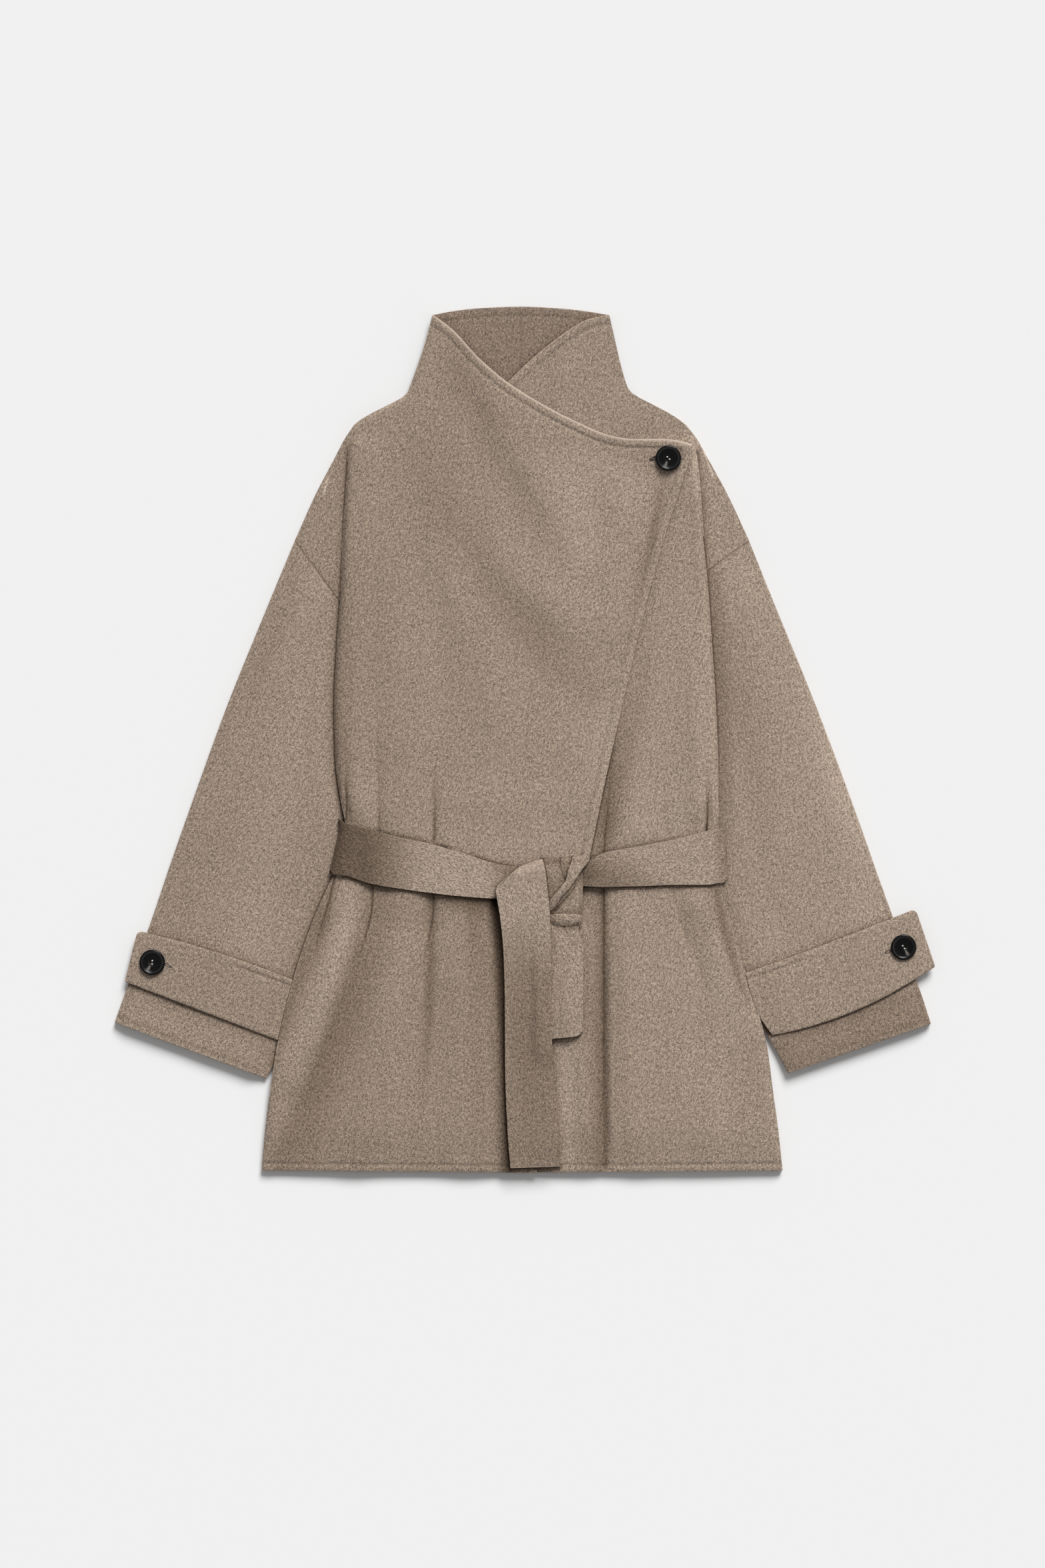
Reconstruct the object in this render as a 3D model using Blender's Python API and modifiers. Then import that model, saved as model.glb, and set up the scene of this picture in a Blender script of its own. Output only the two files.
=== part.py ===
"""Belted wrap coat in thick double-faced wool, laid flat on its back with its front up.

Metres. +X is to the viewer's right, +Y runs from hem to collar, +Z is up and the floor is at Z = 0.
Left and right in the names are the wearer's, so the wearer's right is at -X.
Each panel is a grid moved onto its plan outline and its height, then thickened.
"""

import bpy
import bmesh
import numpy as np

# Cloth and seams
CLOTH = 0.0024
BELT_CLOTH = 0.0028
SEAM = 0.0004
LAYER_GAP = 0.0008
ARMHOLE_GAP = 0.0006

# How the laid cloth stands
RIDGE = 0.0034
ROLL = 0.010
CAP_ROLL = 0.004
FOLD_FADE = 0.015
LAYER_BLEND = 0.0008
SLEEVE_PUFF = 0.0012
SLEEVE_ROLL = 0.020
SLEEVE_FLAT = (0.010, 0.030)
SLEEVE_TUCK = 0.006
TUCK_START = 0.030
TUCK_FADE = (0.012, 0.040)
BACK_INSET = 0.010
INSET_START = 0.030

# Where the body's edge leaves the sleeve, as drops below its exit and rises above the armpit
OFF_SLEEVE = (0.055, 0.022)
OFF_ARMPIT = (0.002, 0.020)

# Where the left front comes down from its ridge, and where the right front climbs onto it
UNDER_FADE = (0.030, 0.075)
LAP_CLIMB = (0.030, 0.010)
LAP_REACH = 0.002
SLEEVE_EXIT = {"right": -0.3155, "left": -0.2760}
TAB_CORNER = 0.004
TAB_SWEEP = 3
CENTRE_BACK = -0.0035
NECK_DIP = 0.010
NECK_DIP_START = 0.250
ARMPIT = {"right": 0.1360, "left": 0.1653}
SHOULDER_POINT = 0.3040
NECK_POINT = 0.3345
COLLAR_TOP = 0.4147
HEM_LEVEL = -0.4205

# Belt
BELT_WIDTH = 0.050
BELT_MIDDLE = -0.110
WRAP_OUT = 0.0053
BELT_TUCK = 0.012
BELT_BRIDGE = 0.020
BELT_SPAN = (-0.150, -0.086)
BESIDE_BELT = (0.029, 0.038)
WAIST_FLAT = 0.002
WAIST_RAMP = 0.045
WAIST_SPREAD = 0.005
TAIL_BRIDGE = 0.012
TAIL_CLIMB_ACROSS = (0.012, 0.002)
TAIL_CLIMB_ALONG = (0.030, 0.006)
TAIL_TO_KNOT = (-0.235, -0.156)
KNOT_SPAN = (-0.030, 0.060)
KNOT_LIFT = 0.0040
KNOT_DOME = 2.5

# Raised fold across the knot: a point on it, its slant, half width, height and where it fades out
KNOT_FOLD_AT = (0.041, -0.135)
KNOT_FOLD_SLANT = 0.75
KNOT_FOLD_WIDTH = 0.006
KNOT_FOLD_HEIGHT = 0.0025
KNOT_FOLD_FADE = (-0.165, -0.150)

# Buttons, turned from a profile that runs down the outer side, from the dish to the back
BUTTON_STEPS = 24
BUTTON_MERGE = 0.00005
BUTTON_SEAT = 0.00875
HOLE_RADIUS = 0.0011
HOLE_OFFSET = 0.0022
HOLE_SIDES = 10
HOLE_DEPTH = 0.020
BUTTON_PROFILE = (
    # radius, height above the cloth
    (0.0000, 0.0021),
    (0.0070, 0.0024),
    (0.0094, 0.0034),
    (0.0108, 0.0038),
    (0.0120, 0.0034),
    (0.0125, 0.0022),
    (0.0115, 0.0008),
    (0.0080, 0.0000),
    (0.0000, 0.0000),
)

# Rows of the fronts and the back: along the side, the armhole seam, the shoulder and the collar
FRONT_ROWS = {"right": (26, 2, 5, 8), "left": (26, 2, 5, 7)}
BACK_ROWS = (26, 2, 5, 9)
FRONT_COLUMNS = {"right": 17, "left": 11}
BACK_COLUMNS = 8
ROLL_COLUMNS = 5
PLEAT_SPREAD = 1.8
COLLAR_CROWDING = 1.25
SIDE_CROWDING = (
    # share of the rows, height, before the armpit at the end
    (0.00, HEM_LEVEL),
    (0.38, -0.1900),
    (0.74, -0.0300),
)
SLEEVE_COLUMNS = {"front": 9, "back": 2}
TAB_ROWS = 10
TAB_SHARES = (0.0, 0.05, 0.16, 0.5, 0.84, 0.95, 1.0)
COLLAR_GRID = (5, 4)
RUN_ROWS = 14
TURN_ROWS = 8
RUN_COLUMNS = 4
TAIL_GRID = (18, 5)
KNOT_GRID = (18, 8)

# Side seam, then the pleat in front of the armhole, the shoulder and the side of the collar
SIDE_LINE = (
    # height, right, left
    (-0.4205, -0.2561, 0.2516),
    (-0.3830, -0.2529, 0.2477),
    (-0.3440, -0.2482, 0.2425),
    (-0.2950, -0.2405, 0.2356),
    (-0.2334, -0.2256, 0.2178),
    (-0.1750, -0.2060, 0.2013),
    (-0.1400, -0.1905, 0.1925),
    (-0.1260, -0.1842, 0.1912),
    (-0.1050, -0.1800, 0.1900),
    (-0.0830, -0.1765, 0.1890),
    (-0.0600, -0.1790, 0.1890),
    (-0.0250, -0.1838, 0.1888),
    (0.0332, -0.1853, 0.1866),
    (0.0852, -0.1832, 0.1833),
    (0.1502, -0.1788, 0.1788),
    (0.2022, -0.1762, 0.1738),
    (0.2412, -0.1742, 0.1715),
    (0.2800, -0.1712, 0.1675),
    (0.3040, -0.1680, 0.1600),
    (0.3115, -0.1606, 0.1520),
    (0.3205, -0.1450, 0.1378),
    (0.3283, -0.1294, 0.1229),
    (0.3345, -0.1182, 0.1108),
    (0.3385, -0.1140, 0.1045),
    (0.3439, -0.1118, 0.1005),
    (0.3595, -0.1060, 0.0955),
    (0.3907, -0.0956, 0.0880),
    (0.4063, -0.0915, 0.0845),
    (0.4147, -0.0897, 0.0826),
)

# Outline of the dropped shoulder outside the pleat, from the armhole seam up
SHOULDER_CAP = (
    # height, right, left
    (0.1950, -0.2236, 0.2186),
    (0.2412, -0.2028, 0.1970),
    (0.2672, -0.1892, 0.1827),
    (0.2821, -0.1814, 0.1746),
    (0.2932, -0.1755, 0.1684),
    (0.3040, -0.1680, 0.1600),
)

# Front edge of the right front, from hem to its shoulder corner
FRONT_EDGE = (
    # height, across
    (-0.4230, 0.0120),
    (-0.3000, 0.0240),
    (-0.2100, 0.0430),
    (-0.1118, 0.0637),
    (-0.0449, 0.0774),
    (0.0332, 0.0949),
    (0.1079, 0.1125),
    (0.1983, 0.1365),
    (0.2542, 0.1547),
    (0.2769, 0.1612),
    (0.2880, 0.1625),
)
UNDERLAP_MIRROR = 0.006

# Collar and chest edge of each front, from the top of the collar to the shoulder corner
TOP_EDGE_RIGHT = (
    # across, height
    (-0.0897, 0.4147),
    (-0.0696, 0.3991),
    (-0.0436, 0.3712),
    (-0.0176, 0.3491),
    (0.0085, 0.3322),
    (0.0475, 0.3114),
    (0.0865, 0.2958),
    (0.1060, 0.2932),
    (0.1320, 0.2932),
    (0.1482, 0.2919),
    (0.1625, 0.2880),
)
TOP_EDGE_LEFT = (
    # across, height
    (0.0826, 0.4147),
    (0.0637, 0.4108),
    (0.0488, 0.4037),
    (0.0345, 0.3939),
    (0.0085, 0.3731),
    (-0.0163, 0.3497),
    (-0.0535, 0.3180),
    (-0.0925, 0.2958),
    (-0.1350, 0.2920),
    (-0.1565, 0.2880),
)

# Upper edge of the back collar
COLLAR_ARCH = (
    # across, height
    (-0.0897, 0.4147),
    (-0.0696, 0.4186),
    (-0.0436, 0.4215),
    (-0.0035, 0.4230),
    (0.0345, 0.4212),
    (0.0605, 0.4184),
    (0.0826, 0.4147),
)

# Which height of the front edge each height of the outer edge is joined to, and how much of the
# top edge's curve that row takes
ROW_MATCH = (
    # outer height, front edge height, share of curve
    (-0.4205, -0.4230, 0.00),
    (0.1502, 0.1502, 0.00),
    (0.1950, 0.1850, 0.20),
    (0.3040, 0.2350, 0.55),
    (0.3345, 0.2600, 0.75),
    (0.4147, 0.2880, 1.00),
)

# Folds: start, bend and end in plan, half width, height at the start, the bend and the end
FOLDS_RIGHT = (
    # x0, y0, x1, y1, x2, y2, half width, h0, h1, h2
    (-0.063, 0.371, -0.024, 0.267, 0.041, 0.157, 0.018, -0.0008, -0.0012, -0.0006),
    (-0.030, 0.322, 0.008, 0.265, 0.052, 0.195, 0.022, 0.0010, 0.0030, 0.0022),
    (-0.057, 0.215, -0.018, 0.137, 0.060, 0.092, 0.022, -0.0004, -0.0010, -0.0012),
    (-0.122, 0.228, -0.089, 0.137, -0.057, 0.020, 0.022, 0.0004, -0.0016, -0.0006),
    (-0.092, 0.190, -0.058, 0.098, -0.022, -0.010, 0.022, 0.0010, 0.0030, 0.0010),
    (-0.141, 0.010, -0.141, -0.045, -0.143, -0.088, 0.010, -0.0002, -0.0026, -0.0032),
    (-0.115, 0.010, -0.117, -0.045, -0.118, -0.085, 0.014, 0.0004, 0.0020, 0.0018),
    (-0.088, -0.010, -0.088, -0.055, -0.090, -0.095, 0.008, -0.0002, -0.0022, -0.0028),
    (-0.170, -0.142, -0.199, -0.255, -0.236, -0.350, 0.016, 0.0020, 0.0060, 0.0020),
    (-0.147, -0.142, -0.172, -0.235, -0.222, -0.370, 0.016, -0.0032, -0.0034, -0.0030),
    (-0.116, -0.145, -0.127, -0.260, -0.150, -0.420, 0.026, 0.0020, 0.0046, 0.0044),
    (-0.090, -0.150, -0.093, -0.235, -0.098, -0.350, 0.014, -0.0032, -0.0030, -0.0006),
    (-0.056, -0.155, -0.058, -0.260, -0.060, -0.420, 0.020, 0.0006, 0.0026, 0.0030),
)
FOLDS_LEFT = (
    # x0, y0, x1, y1, x2, y2, half width, h0, h1, h2
    (0.178, -0.020, 0.177, -0.050, 0.177, -0.085, 0.006, -0.0002, -0.0022, -0.0026),
    (0.110, -0.145, 0.118, -0.260, 0.124, -0.420, 0.022, 0.0016, 0.0044, 0.0050),
    (0.145, -0.145, 0.160, -0.190, 0.180, -0.245, 0.016, -0.0004, -0.0014, -0.0004),
    (0.172, -0.145, 0.192, -0.215, 0.212, -0.300, 0.016, 0.0012, 0.0030, 0.0014),
    (0.056, -0.230, 0.052, -0.330, 0.050, -0.420, 0.012, 0.0006, 0.0030, 0.0036),
)

# Outer edge of each sleeve against the height of its inner edge
SLEEVE_RIGHT = (
    # outer across, outer height, inner height
    (-0.2236, 0.1950, 0.1270),
    (-0.2477, 0.1372, 0.0980),
    (-0.2899, 0.0332, 0.0050),
    (-0.3276, -0.0709, -0.0950),
    (-0.3458, -0.1229, -0.1500),
    (-0.3634, -0.1749, -0.2100),
    (-0.3820, -0.2260, -0.2680),
    (-0.3960, -0.2655, -0.3155),
)
SLEEVE_LEFT = (
    # outer across, outer height, inner height
    (0.2186, 0.1950, 0.1597),
    (0.2418, 0.1372, 0.0980),
    (0.2841, 0.0332, 0.0050),
    (0.3230, -0.0709, -0.0950),
    (0.3413, -0.1229, -0.1500),
    (0.3588, -0.1716, -0.2000),
    (0.3760, -0.2180, -0.2420),
    (0.3870, -0.2480, -0.2760),
)
SLEEVE_LEVELS = (
    # heights of the inner edge at which a sleeve has a row under its first, closer beside the belt
    0.1150, 0.0800, 0.0400, 0.0000, -0.0350, -0.0600, -0.0725, -0.0770, -0.0810, -0.1100,
    -0.1390, -0.1430, -0.1480, -0.1650, -0.1900, -0.2150, -0.2400, -0.2550, -0.2700, -0.2900,
)
CUFFS = {
    # outer corner x and y, inner corner x and y
    "right": (-0.3991, -0.2743, -0.2516, -0.3289),
    "left": (0.3959, -0.2756, 0.2568, -0.3237),
}

# Cuff tabs: the corners round the tab and how far its long edges bow out
CUFF_TABS = {
    # outer top, outer bottom, inner bottom and inner top as x and y, then top bow, bottom bow
    "right": (-0.3770, -0.1859, -0.3894, -0.2360, -0.2418, -0.2915, -0.2275, -0.2325, 0.004, 0.001),
    "left": (0.3840, -0.1651, 0.4019, -0.2217, 0.2425, -0.2866, 0.2175, -0.2262, 0.000, -0.009),
}
BUTTONS = {
    # across, height
    "shoulder": (0.1398, 0.2743),
    "cuff_right": (-0.3621, -0.2158),
    "cuff_left": (0.3686, -0.2009),
}

# Front runs of the belt, from the side of the coat to the knot
BELT_RUN_RIGHT = (
    # across, upper edge, lower edge
    (-0.1765, -0.0800, -0.1302),
    (-0.1476, -0.0872, -0.1396),
    (-0.1216, -0.0940, -0.1440),
    (-0.0956, -0.0995, -0.1476),
    (-0.0566, -0.1105, -0.1518),
    (-0.0306, -0.1190, -0.1534),
    (0.0020, -0.1240, -0.1520),
)
BELT_RUN_LEFT = (
    # across, upper edge, lower edge
    (0.1880, -0.0852, -0.1385),
    (0.1775, -0.0878, -0.1404),
    (0.1450, -0.0962, -0.1404),
    (0.1125, -0.1027, -0.1417),
    (0.0767, -0.1092, -0.1424),
    (0.0560, -0.1200, -0.1415),
    (0.0360, -0.1230, -0.1410),
)
LONG_TAIL = (
    # left x, left y, right x, right y, share of knot lift
    (-0.0110, -0.1255, 0.0182, -0.1150, 0.20),
    (-0.0190, -0.1330, 0.0200, -0.1240, 1.00),
    (-0.0273, -0.1456, 0.0214, -0.1420, 0.90),
    (-0.0228, -0.1749, 0.0222, -0.1749, 0.45),
    (-0.0202, -0.2074, 0.0241, -0.2074, 0.15),
    (-0.0189, -0.2529, 0.0254, -0.2529, 0.00),
    (-0.0189, -0.3179, 0.0280, -0.3179, 0.00),
    (-0.0163, -0.3829, 0.0338, -0.3829, 0.00),
    (-0.0137, -0.4155, 0.0358, -0.4140, 0.00),
)
SHORT_TAIL = (
    # left x, left y, right x, right y, share of knot lift
    (0.0200, -0.1720, 0.0520, -0.1720, 0.00),
    (0.0180, -0.1879, 0.0559, -0.1879, 0.00),
    (0.0165, -0.2009, 0.0579, -0.2009, 0.00),
    (0.0160, -0.2400, 0.0573, -0.2400, 0.00),
    (0.0160, -0.2760, 0.0566, -0.2740, 0.00),
    (0.0160, -0.2905, 0.0520, -0.2880, 0.00),
)
KNOT = (
    # height, left, right, level above the belt, crown
    (-0.1095, 0.0310, 0.0490, 0.0000, 0.0020),
    (-0.1140, 0.0215, 0.0570, 0.0000, 0.0050),
    (-0.1230, 0.0220, 0.0600, 0.0000, 0.0070),
    (-0.1350, 0.0228, 0.0595, 0.0000, 0.0080),
    (-0.1500, 0.0240, 0.0575, 0.0000, 0.0070),
    (-0.1625, 0.0248, 0.0560, -0.0010, 0.0040),
    (-0.1655, 0.0250, 0.0550, -0.0014, 0.0018),
    (-0.1715, 0.0252, 0.0560, -0.0018, 0.0046),
    (-0.1780, 0.0258, 0.0540, -0.0022, 0.0010),
)

# Materials: name, base colour, roughness
WOOL = ("wool", (0.330, 0.270, 0.215), 0.95)
WOOL_INSIDE = ("wool_inside", (0.290, 0.235, 0.185), 0.95)
BUTTON_BLACK = ("button_black", (0.012, 0.012, 0.013), 0.18)

OBJECT_NAME = "belted_wrap_coat"
SIGN = {"right": 1.0, "left": -1.0}


def smooth_through(knots, values, at):
    """Smooth curve through a table that never overshoots it."""
    knots = np.asarray(knots, float)
    values = np.asarray(values, float)
    if knots[0] > knots[-1]:
        knots = knots[::-1]
        values = values[::-1]
    steps = np.diff(knots)
    slopes = np.diff(values) / steps
    tangents = np.empty_like(values)
    tangents[0] = slopes[0]
    tangents[-1] = slopes[-1]
    product = slopes[:-1] * slopes[1:]
    total = slopes[:-1] + slopes[1:]
    tangents[1:-1] = np.where(product > 0, 2 * product / np.where(total == 0, 1, total), 0)
    at = np.clip(np.asarray(at, float), knots[0], knots[-1])
    place = np.clip(np.searchsorted(knots, at) - 1, 0, len(steps) - 1)
    step = steps[place]
    t = (at - knots[place]) / step
    start = (1 + 2 * t) * (1 - t) ** 2 * values[place] + t * (1 - t) ** 2 * step * tangents[place]
    end = t * t * (3 - 2 * t) * values[place + 1] + t * t * (t - 1) * step * tangents[place + 1]
    return start + end


def from_table(table, column, at, key=0):
    """One column of a table, read smoothly at any value of its key column."""
    rows = np.array(table)
    return smooth_through(rows[:, key], rows[:, column], at)


def side_x(side, y):
    """Where the body's side line lies at a height."""
    return from_table(SIDE_LINE, 1 if side == "right" else 2, y)


def ease(value, low, high):
    """0 below low, 1 above high, smooth between."""
    t = np.clip((np.asarray(value, float) - low) / (high - low), 0, 1)
    return t * t * (3 - 2 * t)


def rounded(value, radius):
    """Quarter-round rise from 0 at an edge to 1 a radius inside it."""
    t = np.clip(np.asarray(value, float) / radius, 0, 1)
    return np.sqrt(1 - (1 - t) ** 2)


def higher(a, b, blend):
    """Larger of two heights, rounded where they cross."""
    return 0.5 * (a + b + np.sqrt((a - b) ** 2 + blend ** 2))


def folds(table, x, y):
    """Sum of the ridges and valleys in a table of folds."""
    total = np.zeros(np.broadcast(x, y).shape)
    for x0, y0, x1, y1, x2, y2, half_width, h0, h1, h2 in table:
        t = np.clip((y - y0) / (y2 - y0), 0, 1)
        bend = (y1 - y0) / (y2 - y0)
        across = smooth_through((0, bend, 1), (x0, x1, x2), t)
        height = smooth_through((0, bend, 1), (h0, h1, h2), t)
        past = np.maximum(np.maximum((y - y0) / np.sign(y0 - y2), (y2 - y) / np.sign(y0 - y2)), 0)
        fade = np.exp(-(past / (1.5 * half_width)) ** 2)
        total = total + height * fade * np.exp(-((x - across) / half_width) ** 2)
    return total


def waist_rise(y, layer):
    """Rise of a layer over the back run of the belt, a little wider for each layer up."""
    off = np.abs(np.asarray(y, float) - BELT_MIDDLE)
    flat = BELT_WIDTH / 2 + WAIST_FLAT + WAIST_SPREAD * layer
    return (BELT_CLOTH + SEAM) * (1 - ease(off, flat, flat + WAIST_RAMP))


def underlap_edge(y):
    """Hidden front edge of the left front, the mirror of the right front's."""
    return UNDERLAP_MIRROR - from_table(FRONT_EDGE, 1, y)


def beside_belt(y):
    """1 beside the belt, where it turns round the body, and 0 away from it."""
    return 1 - ease(np.abs(y - BELT_MIDDLE), *BESIDE_BELT)


def on_sleeve(side, y):
    """Share of the body's side edge that lies on the sleeve at a height."""
    below = ease(y - SLEEVE_EXIT[side], -OFF_SLEEVE[0], -OFF_SLEEVE[1])
    above = 1 - ease(y - ARMPIT[side], *OFF_ARMPIT)
    return below * above * (1 - beside_belt(y))


def side_lift(side, x, y, plateau, table):
    """How far a front stands above the back: rounded side, folds, the sleeve tucked under its edge."""
    inside = (x - side_x(side, y)) * SIGN[side]
    body = plateau * rounded(inside, ROLL) + folds(table, x, y) * ease(inside, 0.0, FOLD_FADE)
    sleeve = (CLOTH + SEAM) * on_sleeve(side, y) * (1 - ease(inside, *TUCK_FADE))
    sleeve = sleeve * np.where(y > ARMPIT[side] + SEAM / 4, rounded(inside, CAP_ROLL), 1.0)
    return np.maximum(np.maximum(body, sleeve), 0)


def under_low(x, y):
    """Lower face of the left front."""
    inside = side_x("left", y) - x
    plateau = RIDGE * (1 - ease(inside, *UNDER_FADE))
    return waist_rise(y, 1) + CLOTH + SEAM + side_lift("left", x, y, plateau, FOLDS_LEFT)


def over_low(x, y):
    """Lower face of the right front, clear of the left front under it."""
    free = waist_rise(y, 2) + CLOTH + SEAM + side_lift("right", x, y, RIDGE, FOLDS_RIGHT)
    covered = ease(x - underlap_edge(y), -LAP_CLIMB[0], -LAP_CLIMB[1])
    on_under = (under_low(x, y) + CLOTH + LAYER_GAP) * covered
    return higher(free, on_under, LAYER_BLEND)


def front_top(x, y):
    """Upper face of whichever front lies on top."""
    over = over_low(x, y) + CLOTH
    under = under_low(x, y) + CLOTH
    return np.where(x < from_table(FRONT_EDGE, 1, y) + LAP_REACH, over, under)


def resting(x, y):
    """Height at which a tail rests on the fronts, bridging folds narrower than its reach."""
    best = np.zeros(np.broadcast(x, y).shape)
    for dx in np.linspace(-TAIL_BRIDGE, TAIL_BRIDGE, 5):
        for dy in np.linspace(-TAIL_BRIDGE, TAIL_BRIDGE, 3):
            best = np.maximum(best, front_top(x + dx, y + dy))
    return best + SEAM


def outer_edge(side, counts, inset=0.0):
    """Outer edge of a panel from hem to collar top: points, and how far each lies outside the pleat."""
    side_rows, seam_rows, cap_rows, collar_rows = counts
    column = 1 if side == "right" else 2
    even = np.linspace(0, 1, side_rows, endpoint=False)
    armpit = ARMPIT[side]
    low = from_table((*SIDE_CROWDING, (1.00, armpit)), 1, even)
    seam = np.linspace(0, 1, seam_rows, endpoint=False)
    cap = np.linspace(SHOULDER_CAP[0][0], SHOULDER_POINT, cap_rows, endpoint=False)
    climb = np.linspace(0, 1, collar_rows) ** COLLAR_CROWDING
    collar = SHOULDER_POINT + climb * (COLLAR_TOP - SHOULDER_POINT)
    arm_x = side_x(side, armpit) + SIGN[side] * inset
    tucked = ease(low - SLEEVE_EXIT[side], -INSET_START, 0.0)
    x = np.concatenate((
        side_x(side, low) + SIGN[side] * inset * tucked,
        arm_x + seam * (SHOULDER_CAP[0][column] - arm_x),
        from_table(SHOULDER_CAP, column, cap),
        side_x(side, collar),
    ))
    y = np.concatenate((low, armpit + seam * (SHOULDER_CAP[0][0] - armpit), cap, collar))
    outside = np.maximum((side_x(side, y) - x) * SIGN[side], 0)
    return x, y, outside


def front_plan(side):
    """Plan points of a front as a grid of rows from its outer edge to its front edge."""
    x0, y0, outside = outer_edge(side, FRONT_ROWS[side])
    y1 = from_table(ROW_MATCH, 1, y0)
    curve_share = from_table(ROW_MATCH, 2, y0)
    if side == "right":
        x1 = from_table(FRONT_EDGE, 1, y1)
        top = np.array(TOP_EDGE_RIGHT)
    else:
        x1 = underlap_edge(y1)
        top = np.array(TOP_EDGE_LEFT)
    width = np.abs(x1 - x0)
    near = np.linspace(0, 1, ROLL_COLUMNS + 1)
    start = (near * ROLL)[None, :] + np.minimum(near * PLEAT_SPREAD, 1)[None, :] * outside[:, None]
    share = np.linspace(0, 1, FRONT_COLUMNS[side] + 1)[1:]
    first = start / width[:, None]
    rest = first[:, -1:] + (1 - first[:, -1:]) * share[None, :]
    f = np.concatenate((first, rest), axis=1)
    x = x0[:, None] + f * (x1 - x0)[:, None]
    top_x = top[0, 0] + f * (top[-1, 0] - top[0, 0])
    chord = top[0, 1] + f * (top[-1, 1] - top[0, 1])
    sag = smooth_through(top[:, 0], top[:, 1], top_x) - chord
    y = y0[:, None] + f * (y1 - y0)[:, None] + curve_share[:, None] * sag
    return x, y


def new_collection(name):
    """A collection linked to the scene."""
    collection = bpy.data.collections.new(name)
    bpy.context.scene.collection.children.link(collection)
    return collection


def material(spec):
    """A plain Principled material, made once for each name."""
    name, colour, roughness = spec
    found = bpy.data.materials.get(name)
    if found:
        return found
    made = bpy.data.materials.new(name)
    made.use_nodes = True
    shader = made.node_tree.nodes["Principled BSDF"]
    shader.inputs["Base Color"].default_value = (*colour, 1.0)
    shader.inputs["Roughness"].default_value = roughness
    return made


def grid_mesh(points):
    """A grid of quads with its vertices moved to rows of points."""
    rows, columns = points.shape[:2]
    mesh = bmesh.new()
    bmesh.ops.create_grid(mesh, x_segments=columns - 1, y_segments=rows - 1, size=0.5)
    for vertex in mesh.verts:
        column = round((vertex.co.x + 0.5) * (columns - 1))
        row = round((vertex.co.y + 0.5) * (rows - 1))
        vertex.co = points[row, column]
    return mesh


def finish(name, mesh, spec, collection):
    """Turn a bmesh into a named object with its material."""
    bmesh.ops.recalc_face_normals(mesh, faces=mesh.faces[:])
    data = bpy.data.meshes.new(name)
    mesh.to_mesh(data)
    mesh.free()
    made = bpy.data.objects.new(name, data)
    made.data.materials.append(material(spec))
    collection.objects.link(made)
    return made


def panel(name, x, y, low, thickness, spec, collection):
    """A laid panel: its lower face, extruded straight up by the cloth's thickness."""
    mesh = grid_mesh(np.stack((x, y, low), axis=-1))
    raised = bmesh.ops.extrude_face_region(mesh, geom=mesh.faces[:])
    tops = [item for item in raised["geom"] if isinstance(item, bmesh.types.BMVert)]
    bmesh.ops.translate(mesh, vec=(0, 0, thickness), verts=tops)
    return finish(name, mesh, spec, collection)


def bent_strip(name, points, thickness, spec, collection):
    """A strip that turns over: its middle surface, solidified evenly to both sides."""
    made = finish(name, grid_mesh(points), spec, collection)
    solid = made.modifiers.new("thickness", "SOLIDIFY")
    solid.thickness = thickness
    solid.offset = 0.0
    solid.use_even_offset = True
    return made


def build_fronts(collection):
    """Right front over left front, each with its half of the collar."""
    for side, lower_face in (("right", over_low), ("left", under_low)):
        x, y = front_plan(side)
        panel("front_" + side, x, y, lower_face(x, y), CLOTH, WOOL, collection)


def build_back(collection):
    """Back panel on the floor, and the two back collar halves above it."""
    right_x, right_y, _ = outer_edge("right", BACK_ROWS, BACK_INSET)
    left_x, left_y, _ = outer_edge("left", BACK_ROWS, BACK_INSET)
    below = right_y < NECK_POINT - CLOTH
    right_x = np.append(right_x[below], side_x("right", NECK_POINT))
    left_x = np.append(left_x[below], side_x("left", NECK_POINT))
    right_y = np.append(right_y[below], NECK_POINT)
    left_y = np.append(left_y[below], NECK_POINT)
    share = np.linspace(0, 1, BACK_COLUMNS + 1)[None, :]
    x = right_x[:, None] + share * (left_x - right_x)[:, None]
    y = right_y[:, None] + share * (left_y - right_y)[:, None]
    y = y - NECK_DIP * ease(y, NECK_DIP_START, NECK_POINT) * 4 * share * (1 - share)
    panel("back", x, y, waist_rise(y, 0), CLOTH, WOOL, collection)
    for side in ("right", "left"):
        rise = np.linspace(0, 1, COLLAR_GRID[0] + 1)
        share = np.linspace(0, 1, COLLAR_GRID[1] + 1)
        edge_y = NECK_POINT + SEAM + rise * (COLLAR_TOP - NECK_POINT - SEAM)
        edge_x = side_x(side, edge_y)
        centre = CENTRE_BACK - SIGN[side] * SEAM / 2
        x = edge_x[:, None] + share[None, :] * (centre - edge_x)[:, None]
        across = share[None, :] * 0.5
        base = NECK_POINT + SEAM - NECK_DIP * 4 * across * (1 - across)
        arch = from_table(COLLAR_ARCH, 1, x)
        y = base + rise[:, None] * (arch - base)
        panel("collar_back_" + side, x, y, np.zeros_like(x), CLOTH, WOOL_INSIDE, collection)


def inner_edge(side, y):
    """Inner edge of a sleeve: under the body's side, but outside the belt where that turns round."""
    tuck = SLEEVE_TUCK * ease(y - SLEEVE_EXIT[side], 0.0, TUCK_START)
    belt = beside_belt(y)
    return side_x(side, y) + SIGN[side] * (tuck * (1 - belt) - (WRAP_OUT + LAYER_GAP) * belt)


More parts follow.
